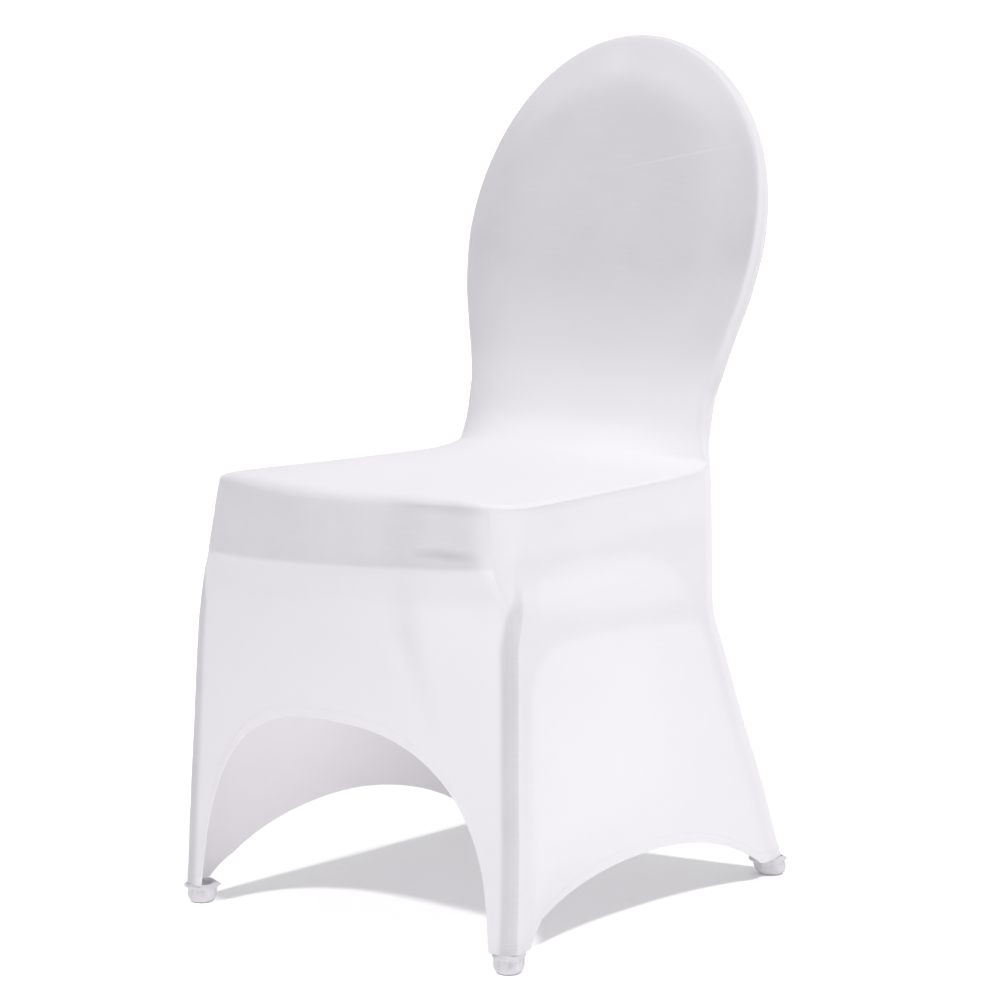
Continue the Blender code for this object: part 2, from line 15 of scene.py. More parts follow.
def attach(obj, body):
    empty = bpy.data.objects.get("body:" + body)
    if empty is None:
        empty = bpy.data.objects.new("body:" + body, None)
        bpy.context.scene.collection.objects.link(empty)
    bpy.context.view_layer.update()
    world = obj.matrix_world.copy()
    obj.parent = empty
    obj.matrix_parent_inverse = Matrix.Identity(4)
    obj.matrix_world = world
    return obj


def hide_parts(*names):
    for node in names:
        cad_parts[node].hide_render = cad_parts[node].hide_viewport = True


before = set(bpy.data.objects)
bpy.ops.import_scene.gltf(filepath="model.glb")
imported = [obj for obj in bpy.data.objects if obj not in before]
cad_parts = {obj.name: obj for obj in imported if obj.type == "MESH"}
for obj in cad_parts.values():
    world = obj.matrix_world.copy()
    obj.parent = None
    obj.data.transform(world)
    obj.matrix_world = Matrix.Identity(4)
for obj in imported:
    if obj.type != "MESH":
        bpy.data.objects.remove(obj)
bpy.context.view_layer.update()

# Driving dimensions
TOTAL_HEIGHT = 0.920
WIDEST_HEIGHT = 0.700            # where the oval back is widest
WIDEST_HALF = 0.1995
HEM_FLOOR = 0.0210               # lowest edge of every panel, at the feet
SKIRT_TOP = 0.350                # below this height the cloth hangs free between the feet
MIDDLE_SHIFT = -0.0111           # moves the middle of the base onto the origin

# The inner back and seat
PAD_CROWN = 0.012                # how far the middle of the back stands proud of its rim
PAD_POWER = 5.0                  # flat in the middle, turning back near the rim
SEAT_MIDDLE_Y = -0.060
SEAT_MIDDLE_Z = 0.474
SEAT_POWER = 3.0
SEAT_SIDE_Z = 0.4595
SEAT_CORNER_Z = 0.4615
SEAT_FRONT_Z = 0.4700
SIDE_ROLL = 0.0035               # radius over which the seat turns down into the sides
CORNER_ROLL = 0.0045
FRONT_ROLL = 0.0140
CORNER_TURN = math.radians(45)   # the seam runs down each front corner at this turn from the front

# The hems
FRONT_ARCH = {"middle": 0.0, "half": 0.197, "height": 0.230, "power": 2.5}
REAR_ARCH = {"middle": 0.0, "half": 0.186, "height": 0.215, "power": 2.5}
SIDE_ARCH_MIDDLE = 0.005
SIDE_ARCH_HEIGHT = 0.079
SIDE_ARCH_FRONT = (0.213, 0.52)  # half length and power towards the front foot
SIDE_ARCH_REAR = (0.240, 0.80)
HEM_PULL = 0.012                 # a side hem is drawn in this far beside the front foot
HEM_PULL_RISE = 0.080            # height above the hem over which the pull dies out
HEM_PULL_FULL = 0.23             # share of the way along the side where the pull is greatest
HEM_PULL_END = 0.62

# Grid lines, as shares of the way from the middle to a seam
RIM_START = 0.86                 # from here out the cloth turns over an edge
ACROSS = (0.0, 0.13, 0.26, 0.39, 0.50, 0.60, 0.69, 0.76, 0.82, 0.86, 0.89, 0.925, 0.965, 1.0)
CAP_LINES = (0.0, 0.14, 0.28, 0.42, 0.55, 0.67, 0.77, 0.86, 0.89, 0.925, 0.965, 1.0)
LAP_LINES = (0.07, 0.15, 0.23, 0.31, 0.39, 0.46, 0.53, 0.60, 0.67, 0.73, 0.79, 0.83, 0.86, 0.89,
             0.91, 0.93, 0.95, 0.97, 0.985)
SKIRT_LINES = (0.0, 0.10, 0.19, 0.25, 0.32, 0.40, 0.49, 0.59, 0.69, 0.78, 0.86, 0.93, 1.0)
BAND_SHARE = 0.40                # share of the skirt lines that lie above SKIRT_TOP
CAP_STEPS = 4                    # fine steps in each interval of the back's and seat's lines
SKIRT_STEPS = 6
HALVINGS = 30                    # steps in the search for a hem, far finer than the cloth

# The rear
LEAN_STEP = 0.02                 # height over which the slope of the rim is taken
LEAN_STOP = 0.021                # the slope is read no nearer than this to the top
LEAN_FROM = 0.45                 # the outer back tips over between these heights
LEAN_FULL = 0.60
REAR_SEAM_TURNS = 0.40           # from this height the rear seam moves to the middle of the edge
REAR_CROWN_POWER = 2.0
REAR_CROWN_HEIGHT = 0.8          # the outer back bows as its rim does here

# Foot pockets
FRONT_POCKET = 0.0155            # outer radius
REAR_POCKET = 0.0175

def table(names, *rows):
    """A short table: one row for each section, one named column for each measure."""
    return dict(zip(names, np.array(rows, dtype=float).T))


# Front corner of the outline at each height: its outermost side and front, its radius, and
# how far the middle of the front stands forward of the corners.
FRONT_CORNER = table(
    ("height", "side", "front", "radius", "bow"),
    (0.000, 0.2271, -0.2370, 0.0155, 0.0015),
    (0.100, 0.2262, -0.2315, 0.0155, 0.0075),
    (0.200, 0.2221, -0.2275, 0.0155, 0.0198),
    (0.300, 0.2183, -0.2230, 0.0155, 0.0313),
    (0.355, 0.2130, -0.2200, 0.0170, 0.0385),
    (0.385, 0.2040, -0.2280, 0.0280, 0.0340),
    (0.412, 0.2017, -0.2340, 0.0445, 0.0300),
    (0.435, 0.2012, -0.2345, 0.0530, 0.0290),
    (0.470, 0.2005, -0.2355, 0.0700, 0.0280),
)

# Rear corner, and above it the rim of the back: outermost half width, middle of its depth,
# radius of its corners, flat between each corner and the middle, and the bow of the rear face.
REAR_CORNER = table(
    ("height", "half_width", "centre_y", "radius", "flat", "bow"),
    (0.000, 0.2095, 0.2620, 0.0145, 0.0000, 0.002),
    (0.100, 0.2072, 0.2235, 0.0145, 0.0000, 0.003),
    (0.200, 0.2057, 0.1780, 0.0145, 0.0000, 0.006),
    (0.270, 0.2050, 0.1475, 0.0145, 0.0000, 0.035),
    (0.320, 0.2030, 0.1290, 0.0145, 0.0000, 0.053),
    (0.370, 0.1940, 0.1400, 0.0145, 0.0000, 0.043),
    (0.440, 0.1786, 0.1587, 0.0145, 0.0000, 0.026),
    (0.500, 0.1657, 0.1745, 0.0145, 0.0000, 0.012),
    (0.530, 0.1660, 0.1810, 0.0145, 0.0000, 0.008),
    (0.560, 0.1728, 0.1885, 0.0125, 0.0000, 0.006),
    (0.600, 0.1825, 0.1965, 0.0090, 0.0022, 0.004),
    (0.650, 0.1942, 0.2090, 0.0070, 0.0040, 0.004),
    (0.700, 0.1995, 0.2220, 0.0070, 0.0040, 0.004),
    (0.800, 0.1777, 0.2490, 0.0070, 0.0040, 0.004),
    (0.920, 0.0000, 0.2770, 0.0070, 0.0040, 0.004),
)

# The inner back below its widest part and the lap of the seat: where the side seam runs, how
# far the surface beside it is tipped up, how it turns over its edge, and the middle line.
LAP = table(
    ("station", "seam_y", "seam_z", "tip", "radius", "flat", "middle_y", "middle_z", "power"),
    (0.00, 0.2220, 0.7000, 14.5, 0.0070, 0.0040, 0.1997, 0.7058, 5.0),
    (0.15, 0.2090, 0.6500, 14.5, 0.0070, 0.0040, 0.1862, 0.6560, 5.0),
    (0.28, 0.1965, 0.6000, 15.0, 0.0090, 0.0022, 0.1715, 0.6060, 4.5),
    (0.40, 0.1885, 0.5600, 17.0, 0.0125, 0.0000, 0.1570, 0.5660, 4.0),
    (0.50, 0.1810, 0.5300, 20.0, 0.0145, 0.0000, 0.1400, 0.5350, 3.4),
    (0.60, 0.1745, 0.5000, 30.0, 0.0145, 0.0000, 0.1180, 0.5080, 3.0),
    (0.68, 0.1690, 0.4780, 47.0, 0.0120, 0.0000, 0.0920, 0.4920, 2.6),
    (0.73, 0.1645, 0.4620, 66.0, 0.0080, 0.0000, 0.0700, 0.4835, 2.5),
    (0.79, 0.1400, 0.4575, 85.0, 0.0050, 0.0000, 0.0480, 0.4790, 2.5),
    (0.86, 0.1050, 0.4562, 90.0, 0.0035, 0.0000, 0.0250, 0.4760, 2.6),
    (0.93, 0.0300, 0.4560, 90.0, 0.0035, 0.0000, -0.0180, 0.4745, 2.8),
    (1.00, -0.0600, 0.4560, 90.0, 0.0035, 0.0000, -0.0600, 0.4740, 3.0),
)
TRIPLE_STATION = 0.73            # here the front, side and rear panels meet


def read(source, name, at):
    """A named column at any place between the rows, on a smooth curve that never overshoots."""
    key = source[next(iter(source))]
    column = source[name]
    step = np.diff(key)
    slope = np.diff(column) / step
    product = slope[:-1] * slope[1:]
    total = slope[:-1] + slope[1:]
    inner = np.where(product > 0, 2 * product / np.where(total == 0, 1, total), 0)
    tangent = np.concatenate((slope[:1], inner, slope[-1:]))
    i = np.clip(np.searchsorted(key, at, side="right") - 1, 0, len(step) - 1)
    u = np.clip((at - key[i]) / step[i], 0, 1)
    left = (1 + 2 * u) * (1 - u) ** 2 * column[i] + u * (1 - u) ** 2 * step[i] * tangent[i]
    right = u ** 2 * (3 - 2 * u) * column[i + 1] + u ** 2 * (u - 1) * step[i] * tangent[i + 1]
    return left + right


def share(value, start, end):
    """How far value lies from start to end, held between 0 and 1."""
    return np.clip((value - start) / (end - start), 0, 1)


def over_rim(way, radius, flat, start, end):
    """Turn reached, and flat run past it, at a share of the way over a rounded rim."""
    arc = radius * (end - start)
    run = way * (arc + flat)
    return start + np.minimum(run, arc) / radius, np.maximum(run - arc, 0)


def front_corner(height):
    """Centre and radius of the front corner at a height."""
    radius = read(FRONT_CORNER, "radius", height)
    centre_x = read(FRONT_CORNER, "side", height) - radius
    return centre_x, read(FRONT_CORNER, "front", height) + radius, radius


def rear_corner(height):
    """Centre and radius of the rear corner at a height."""
    radius = read(REAR_CORNER, "radius", height)
    centre_x = read(REAR_CORNER, "half_width", height) - radius
    return centre_x, read(REAR_CORNER, "centre_y", height), radius


def both_sides(across, x, y, z):
    """Points of the right half, mirrored where the place across is to the left."""
    return np.stack((np.where(across < 0, -x, x), y, z), -1)


def front_line(height, across):
    """Outline of the front at a height, from its middle to the seam down its corner."""
    centre_x, centre_y, radius = front_corner(height)
    turn = np.arctan(2 * read(FRONT_CORNER, "bow", height) / centre_x)
    end_x = centre_x + radius * np.sin(turn)
    end_y = centre_y - radius * np.cos(turn)
    x = end_x * np.minimum(across / RIM_START, 1)
    curve = np.tan(turn) / (2 * end_x)
    angle = turn + (CORNER_TURN - turn) * share(across, RIM_START, 1)
    round_part = across > RIM_START
    x = np.where(round_part, centre_x + radius * np.sin(angle), x)
    y = np.where(round_part, centre_y - radius * np.cos(angle), end_y - curve * (end_x ** 2 - x ** 2))
    return x, y, np.where(round_part, angle, np.arctan(2 * curve * x))


def side_turn(height):
    """Direction in which the straight side faces, as a turn from the front."""
    front_x, front_y, front_radius = front_corner(height)
    rear_x, rear_y, rear_radius = rear_corner(height)
    run = np.hypot(rear_x - front_x, rear_y - front_y)
    lead = np.arcsin((front_radius - rear_radius) / run)
    return math.pi / 2 - np.arctan2(rear_x - front_x, rear_y - front_y) + lead


def side_line(height, along):
    """Outline of the side at a height, from the front corner's seam to the rear corner's."""
    front_x, front_y, front_radius = front_corner(height)
    rear_x, rear_y, rear_radius = rear_corner(height)
    turn = side_turn(height)
    angle = CORNER_TURN + (turn - CORNER_TURN) * share(along, 0, 1 - RIM_START)
    front_x = front_x + front_radius * np.sin(angle)
    front_y = front_y - front_radius * np.cos(angle)
    rear_x = rear_x + rear_radius * np.sin(turn)
    rear_y = rear_y - rear_radius * np.cos(turn)
    way = share(along, 1 - RIM_START, 1)
    return front_x + (rear_x - front_x) * way, front_y + (rear_y - front_y) * way


def arch(x, shape):
    """Height of a front or rear hem above the floor, at a place across."""
    way = np.abs(x - shape["middle"]) / shape["half"]
    return shape["height"] * np.clip(1 - way ** shape["power"], 0, 1) ** (1 / shape["power"])


def side_arch(y):
    """Height of a side hem, which falls more steeply to the front foot than to the rear."""
    distance = y - SIDE_ARCH_MIDDLE
    half = np.where(distance < 0, SIDE_ARCH_FRONT[0], SIDE_ARCH_REAR[0])
    power = np.where(distance < 0, SIDE_ARCH_FRONT[1], SIDE_ARCH_REAR[1])
    return SIDE_ARCH_HEIGHT * np.clip(1 - (distance / half) ** 2, 0, 1) ** power


def hem_height(place, hem):
    """Where each column of a panel meets its hem; place(height) gives the column's position."""
    low = np.full_like(place(HEM_FLOOR), HEM_FLOOR)
    high = np.full_like(low, SKIRT_TOP)
    floor_reached = hem(place(low)) <= HEM_FLOOR
    for _ in range(HALVINGS):
        middle = (low + high) / 2
        above = middle > hem(place(middle))
        high = np.where(above, middle, high)
        low = np.where(above, low, middle)
    return np.where(floor_reached, HEM_FLOOR, (low + high) / 2)


def skirt_height(top, hem, line):
    """Heights along a skirt column: first the band beside the seat, then the free cloth."""
    band = top + (SKIRT_TOP - top) * share(line, 0, BAND_SHARE)
    return np.where(line < BAND_SHARE, band, SKIRT_TOP + (hem - SKIRT_TOP) * share(line, BAND_SHARE, 1))


def lean(height):
    """Forward tip of the back's face, taken from the slope of its rim."""
    above = read(REAR_CORNER, "centre_y", height + LEAN_STEP)
    below = read(REAR_CORNER, "centre_y", height - LEAN_STEP)
    return np.arctan((above - below) / (2 * LEAN_STEP))


def oval_cap(across, up, facing, crown, power):
    """The top half of the back, on its front (facing 1) or rear (facing -1)."""
    reach = np.maximum(np.maximum(np.abs(across), up), 1e-9)
    beside = np.abs(across) >= up
    quarter = math.pi / 4
    angle = np.where(beside, quarter * up / reach, 2 * quarter - quarter * np.abs(across) / reach)
    rise = TOTAL_HEIGHT - WIDEST_HEIGHT
    out_x = np.cos(angle) / WIDEST_HALF
    out_z = np.sin(angle) / rise
    size = np.hypot(out_x, out_z)
    radius = read(REAR_CORNER, "radius", WIDEST_HEIGHT)
    flat = read(REAR_CORNER, "flat", WIDEST_HEIGHT)
    start = math.atan(power * crown / WIDEST_HALF)
    inward = radius * (1 - math.sin(start))
    edge_x = WIDEST_HALF * np.cos(angle) - inward * out_x / size
    edge_z = rise * np.sin(angle) - inward * out_z / size
    inner = np.minimum(reach / RIM_START, 1)
    turn, band = over_rim(share(reach, RIM_START, 1), radius, flat, start, math.pi / 2)
    out = np.where(reach > RIM_START, radius * (np.sin(turn) - math.sin(start)), 0)
    x = edge_x * inner + out * out_x / size
    z = WIDEST_HEIGHT + edge_z * inner + out * out_z / size
    face = crown * (1 - inner ** power) - radius * (1 - math.cos(start))
    depth = np.where(reach > RIM_START, -radius * (1 - np.cos(turn)) - band, face)
    off = (radius + flat + depth) * facing
    tip = lean(np.minimum(z, TOTAL_HEIGHT - LEAN_STOP))
    y = read(REAR_CORNER, "centre_y", z) - off * np.cos(tip)
    return both_sides(across, x, y, z + off * np.sin(tip))


def seat_side(y):
    """The straight side of the seat, from the front corner's tangent to the rear corner."""
    top = SEAT_SIDE_Z - SIDE_ROLL
    front_x, front_y = side_line(top, 1 - RIM_START)
    rear_z = read(LAP, "seam_z", TRIPLE_STATION)
    rear_x = read(REAR_CORNER, "half_width", rear_z)
    rear_y = read(REAR_CORNER, "centre_y", rear_z)
    return front_x + (rear_x - front_x) * (y - front_y) / (rear_y - front_y)


def seam_line(station):
    """The seam beside the inner back and the seat: up the rim, or along the seat's side."""
    z = read(LAP, "seam_z", station)
    if station <= TRIPLE_STATION:
        return read(REAR_CORNER, "half_width", z), read(REAR_CORNER, "centre_y", z), z
    y = read(LAP, "seam_y", station)
    return seat_side(y), y, z


def lap(across, station):
    """The inner back below its widest part, flowing into the seat."""
    def at(name):
        return read(LAP, name, station)
    seam_x, seam_y, seam_z = seam_line(station)
    tip = np.radians(at("tip"))
    depth = at("radius") + at("flat")
    edge_y = seam_y - depth * np.cos(tip)
    edge_z = seam_z + depth * np.sin(tip)
    rise_y = at("middle_y") - edge_y
    rise_z = at("middle_z") - edge_z
    crown = np.maximum(-rise_y * np.cos(tip) + rise_z * np.sin(tip), 0)
    side = np.abs(across)
    start = np.arctan(at("power") * crown / seam_x)
    radius = at("radius")
    inner = np.minimum(side / RIM_START, 1)
    turn, band = over_rim(share(side, RIM_START, 1), radius, at("flat"), start, math.pi / 2)
    edge_x = seam_x - radius * (1 - np.sin(start))
    round_part = side > RIM_START
    x = np.where(round_part, seam_x - radius * (1 - np.sin(turn)), edge_x * inner)
    fall = np.where(round_part, radius * (1 - np.cos(turn)) + band, radius * (1 - np.cos(start)))
    fade = np.where(round_part, 0, 1 - inner ** at("power"))
    y = edge_y + rise_y * fade + fall * np.cos(tip)
    z = edge_z + rise_z * fade - fall * np.sin(tip)
    return both_sides(across, x, y, z)


def seat_cap(across, forward):
    """The front half of the seat, out to its rolled edge."""
    side = np.abs(across)
    reach = np.maximum(np.maximum(side, forward), 1e-9)
    beside = side >= forward
    top = SEAT_SIDE_Z - SIDE_ROLL
    ratio = np.where(beside, forward, side) / reach
    front_x, front_y, front_turn = front_line(top, np.where(beside, 1, ratio))
    turn = side_turn(top)
    angle = turn + (CORNER_TURN - turn) * share(ratio, RIM_START, 1)
    centre_x, centre_y, radius = front_corner(top)
    arc_x = centre_x + radius * np.sin(angle)
    arc_y = centre_y - radius * np.cos(angle)
    way = share(ratio, 0, RIM_START)
    middle_x = seat_side(SEAT_MIDDLE_Y)
    side_x = middle_x + (arc_x - middle_x) * way
    side_y = SEAT_MIDDLE_Y + (arc_y - SEAT_MIDDLE_Y) * way
    out_x = np.where(beside, side_x, front_x)
    out_y = np.where(beside, side_y, front_y)
    face = np.where(beside, angle, front_turn)
    corner_share = np.where(beside, ratio ** 2, ratio ** 6)
    level = np.where(beside, SEAT_SIDE_Z, SEAT_FRONT_Z)
    level = level + (SEAT_CORNER_Z - level) * corner_share
    roll = np.where(beside, SIDE_ROLL, FRONT_ROLL)
    roll = roll + (CORNER_ROLL - roll) * np.where(beside, ratio ** 2, ratio ** 3)
    crown = SEAT_MIDDLE_Z - level
    start = np.arctan(SEAT_POWER * crown / WIDEST_HALF)
    inward = roll * (1 - np.sin(start))
    edge_x = out_x - inward * np.sin(face)
    edge_y = out_y + inward * np.cos(face)
    inner = np.minimum(reach / RIM_START, 1)
    turn = start + (math.pi / 2 - start) * share(reach, RIM_START, 1)
    out = np.where(reach > RIM_START, roll * (np.sin(turn) - np.sin(start)), 0)
    x = edge_x * inner + out * np.sin(face)
    y = SEAT_MIDDLE_Y + (edge_y - SEAT_MIDDLE_Y) * inner - out * np.cos(face)
    dome = SEAT_MIDDLE_Z - (crown + roll * (1 - np.cos(start))) * inner ** SEAT_POWER
    z = np.where(reach > RIM_START, level - roll * (1 - np.cos(turn)), dome)
    return both_sides(across, x, y, z)


def front_skirt(across, line, top):
    """The front below the seat's edge, down to its arched hem."""
    side = np.abs(across)
    hem = hem_height(lambda height: front_line(height, side)[0] + 0 * height,
                     lambda x: arch(x, FRONT_ARCH))
    height = skirt_height(top, hem, line)
    x, y, _ = front_line(height, side)
    return both_sides(across, x, y, height)


def rear_wall(across, height):
    """The outer back and rear skirt at a height below the widest part."""
    side = np.abs(across)
    radius = read(REAR_CORNER, "radius", height)
    flat = read(REAR_CORNER, "flat", height)
    half_width = read(REAR_CORNER, "half_width", height)
    bow = read(REAR_CORNER, "bow", height)
    upper = share(height, REAR_SEAM_TURNS, read(LAP, "seam_z", TRIPLE_STATION))
    end_turn = math.pi / 2 + (1 - upper) * (math.pi / 2 - side_turn(height))
    tip = lean(WIDEST_HEIGHT) * share(height, LEAN_FROM, LEAN_FULL)
    start = np.arctan(2 * bow / (half_width - radius))
    turn, band = over_rim(share(side, RIM_START, 1), radius, flat, start, end_turn)
    inner = np.minimum(side / RIM_START, 1)
    edge_x = half_width - radius * (1 - np.sin(start))
    round_part = side > RIM_START
    x = np.where(round_part, half_width - radius * (1 - np.sin(turn)), edge_x * inner)
    face = bow * (1 - inner ** 2) - radius * (1 - np.cos(start))
    fall = np.where(round_part, -radius * (1 - np.cos(turn)) - band, face)
    off = radius + flat + fall
    y = read(REAR_CORNER, "centre_y", height) + off * np.cos(tip)
    return both_sides(across, x, y, height - off * np.sin(tip))


def finer(lines, steps):
    """Grid lines with each interval divided into equal steps."""
    lines = np.array(lines)
    return np.interp(np.arange(steps * (len(lines) - 1) + 1) / steps, np.arange(len(lines)), lines)


def mirrored(half):
    """Grid lines from one seam to the other."""
    return np.concatenate((-half[:0:-1], half))


def ramp(value, start, end):
    """A soft step from 0 at start to 1 at end."""
    way = share(value, start, end)
    return way * way * (3 - 2 * way)


def hill(value, middle, half):
    """A soft rise to 1 at the middle that is back at 0 at half on either side."""
    return np.cos(math.pi / 2 * np.clip((value - middle) / half, -1, 1)) ** 2


def off_line(u, v, points):
    """Distance of each place (u, v) from a line through a few points, and the way along it."""
    best = np.full(np.shape(u), np.inf)
    along = np.zeros(np.shape(u))
    count = len(points) - 1
    for k in range(count):
        (u0, v0), (u1, v1) = points[k], points[k + 1]
        run_u, run_v = u1 - u0, v1 - v0
        way = np.clip(((u - u0) * run_u + (v - v0) * run_v) / (run_u ** 2 + run_v ** 2), 0, 1)
        gap = np.hypot(u - u0 - way * run_u, v - v0 - way * run_v)
        along = np.where(gap < best, (k + way) / count, along)
        best = np.minimum(best, gap)
    return best, along


def within(u, v, outline, soft):
    """1 inside a closed outline, 0 outside it, with a soft step at its edge."""
    inside = np.zeros(np.shape(u), dtype=bool)
    for (u0, v0), (u1, v1) in zip(outline, outline[1:] + outline[:1]):
        if v0 != v1:
            inside ^= ((v0 > v) != (v1 > v)) & (u < u0 + (v - v0) * (u1 - u0) / (v1 - v0))
    gap = off_line(u, v, outline + outline[:1])[0]
    return ramp(np.where(inside, gap, -gap), -soft, soft)


def strip_shift(z):
    """How far to the side of the seam a corner's tight strip runs off, above the corner's bend."""
    return 0.006 * ramp(z, 0.320, 0.352) + 0.024 * ramp(z, 0.344, 0.402)


def corner_strip(past_seam, z):
    """The tight grey strip down a front corner; past_seam is measured to the side."""
    place = past_seam - strip_shift(z)
    tapered = place * (1 + ramp(z, 0.352, 0.388))
    width = ramp(tapered, -0.0155, -0.0080) * (1 - ramp(place, 0.0050, 0.0080))
    return STRIP_GREY * width * ramp(z, 0.408, 0.356)


def crease(u, v, points, width):
    """A soft-sided line that is strongest in its middle and dies out at both ends."""
    gap, along = off_line(u, v, points)
    return np.exp(-(gap / width) ** 2) * hill(along, 0.5, 0.5) ** 0.5


def from_edges(grid):
    """Distances in metres along the grid from its first and last row, and its two sides."""
    down = np.linalg.norm(np.diff(grid, axis=0), axis=-1)
    over = np.linalg.norm(np.diff(grid, axis=1), axis=-1)
    top = np.concatenate((np.zeros((1, grid.shape[1])), np.cumsum(down, axis=0)))
    left = np.concatenate((np.zeros((grid.shape[0], 1)), np.cumsum(over, axis=1)), axis=1)
    return top, top[-1] - top, left, left[:, -1:] - left


# The grids, in the order in which their edges are sewn
CAP_FINE = finer(CAP_LINES, CAP_STEPS)
LAP_FINE = finer((0.0,) + LAP_LINES + (1.0,), CAP_STEPS)[1:-1]
SKIRT_FINE = finer(SKIRT_LINES, SKIRT_STEPS)
ACROSS_FINE = mirrored(finer(ACROSS, CAP_STEPS))


def front_grid():
    """Inner back, seat and front skirt in one length, from the top of the back to the hem."""
    rows = [oval_cap(ACROSS_FINE, up, 1, PAD_CROWN, PAD_POWER) for up in CAP_FINE[::-1]]
    rows += [lap(ACROSS_FINE, station) for station in LAP_FINE]
    rows += [seat_cap(ACROSS_FINE, forward) for forward in CAP_FINE]
    top = rows[-1][:, 2]
    rows += [front_skirt(ACROSS_FINE, line, top) for line in SKIRT_FINE[1:]]
    return np.array(rows)


def side_grid(hand):
    """One side, between the seat's seam and an arched hem. hand is 1 on the right, -1 left."""
    rows = [seat_cap(np.array([1.0]), forward)[0] for forward in CAP_FINE[::-1]]
    for station in LAP_FINE[::-1]:
        if station >= TRIPLE_STATION:
            rows.append(lap(np.array([1.0]), station)[0])
    seam = np.array(rows)
    x, y = seam[:, 0], seam[:, 1]
    top = seam[:, 2]
    tangent_y = side_line(top, np.full_like(top, 1 - RIM_START))[1]
    rear_y = side_line(top, np.ones_like(top))[1]
    _, centre_y, radius = front_corner(top)
    angle = np.arccos(np.clip((centre_y - y) / radius, -1, 1))
    on_corner = (1 - RIM_START) * share(angle, CORNER_TURN, side_turn(top))
    on_side = (1 - RIM_START) + RIM_START * share(y, tangent_y, rear_y)
    along = np.where(y < tangent_y, on_corner, on_side)
    hem = hem_height(lambda height: side_line(height, along)[1] + 0 * height, side_arch)
    plain_x, plain_y = side_line(top, along)
    pull = HEM_PULL * share(along, 1 - RIM_START, HEM_PULL_FULL)
    pull = pull * (1 - share(along, HEM_PULL_FULL, HEM_PULL_END))
    rows = []
    for line in SKIRT_FINE:
        height = skirt_height(top, hem, line)
        row_x, row_y = side_line(height, along)
        near_seam = (1 - share(line, 0, BAND_SHARE)) ** 2
        row_x = row_x + (x - plain_x) * near_seam
        row_x = row_x - pull * (1 - share(height - hem, 0, HEM_PULL_RISE)) ** 2
        row_y = row_y + (y - plain_y) * near_seam
        # the last column is the rear panel's own edge
        row_x[-1], row_y[-1] = rear_wall(np.ones(1), height[-1:])[0, :2]
        rows.append(np.stack((row_x * hand, row_y, height), -1))
    grid = np.array(rows)
    return grid if hand > 0 else grid[:, ::-1]


def rear_grid():
    """The outer back and rear skirt, from the top of the back to the rear hem."""
    side = np.abs(ACROSS_FINE)
    bow = read(REAR_CORNER, "bow", REAR_CROWN_HEIGHT)
    rows = [oval_cap(ACROSS_FINE, up, -1, bow, REAR_CROWN_POWER) for up in CAP_FINE[:0:-1]]
    stations = [0.0] + [station for station in LAP_FINE if station < TRIPLE_STATION]
    rows += [rear_wall(ACROSS_FINE, read(LAP, "seam_z", station) + 0 * side) for station in stations]
    top = np.full_like(side, read(LAP, "seam_z", TRIPLE_STATION))
    hem = hem_height(lambda height: np.abs(rear_wall(ACROSS_FINE, height + 0 * side)[:, 0]),
                     lambda x: arch(x, REAR_ARCH))
    rows += [rear_wall(ACROSS_FINE, skirt_height(top, hem, line)) for line in SKIRT_FINE]
    return np.array(rows)[:, ::-1]


def outward(grid):
    """Direction square to a grid at each point."""
    down = np.gradient(grid, axis=0, edge_order=2)
    over = np.gradient(grid, axis=1, edge_order=2)
    square = np.cross(down, over)
    size = np.linalg.norm(square, axis=-1, keepdims=True)
    square = square / np.maximum(size, 1e-12)
    for corner, beside, below in (((0, 0), (0, 1), (1, 0)), ((0, -1), (0, -2), (1, -1))):
        middle = square[beside] + square[below]
        square[corner] = middle / np.linalg.norm(middle)
    return square


# What the cloth does beside its seams and hems
SEAM_RIDGE = 0.00035             # the turned allowance lifts the cloth this much beside a seam
SEAM_AT = 0.0030
SEAM_WIDTH = 0.0020
SEAM_DIP = 0.2                   # the dip into the seam, as a share of the ridge
STITCH_DENT = 0.0012             # half width of the dip in a seam or along a row of stitches
SEAT_PIPE = 0.0010               # the seat's side seams stand up like a thin cord
PIPE_WIDTH = 0.0026
FREE_FROM = 0.340                # between these heights the corner seams' ridge fades out upwards
FREE_TO = 0.375
HEM_FOLD = 0.0140                # depth of the turned hem
HEM_LIFT = 0.0005
HEM_STITCHED = 0.0120            # a row of stitches holds each turned hem here
STITCH_DIP = 0.0003
STRIP_GREY = 1.12                # the strips down the corners are greyer than all other tight cloth

# Two areas of a side where the cloth hangs clear and is lighter: place from front to rear, height
SIDE_WINDOW = ((-0.171, 0.350), (-0.171, 0.366), (-0.160, 0.385), (-0.139, 0.395), (-0.104, 0.397),
               (-0.033, 0.393), (0.017, 0.389), (0.064, 0.370), (0.087, 0.347), (0.097, 0.331),
               (0.023, 0.336), (-0.068, 0.341))
SIDE_OPENING = ((-0.196, -0.100), (-0.196, 0.270), (-0.184, 0.300), (-0.164, 0.315), (-0.116, 0.322),
                (-0.032, 0.318), (0.051, 0.313), (0.100, 0.309), (0.125, 0.293), (0.150, 0.255),
                (0.400, 0.100), (0.400, -0.100))


def seam_lift(distance, height=SEAM_RIDGE):
    """The low ridge beside a seam, and the dip into the seam itself."""
    ridge = height * np.exp(-((distance - SEAM_AT) / SEAM_WIDTH) ** 2)
    return ridge - SEAM_DIP * height * np.exp(-(distance / STITCH_DENT) ** 2)


def piping(distance, y):
    """The ridge of the seat's side seams, which dies out at both their ends."""
    ends = ramp(y, 0.163, 0.128) * ramp(y, -0.215, -0.195)
    return SEAT_PIPE * np.exp(-(distance / PIPE_WIDTH) ** 2) * ends


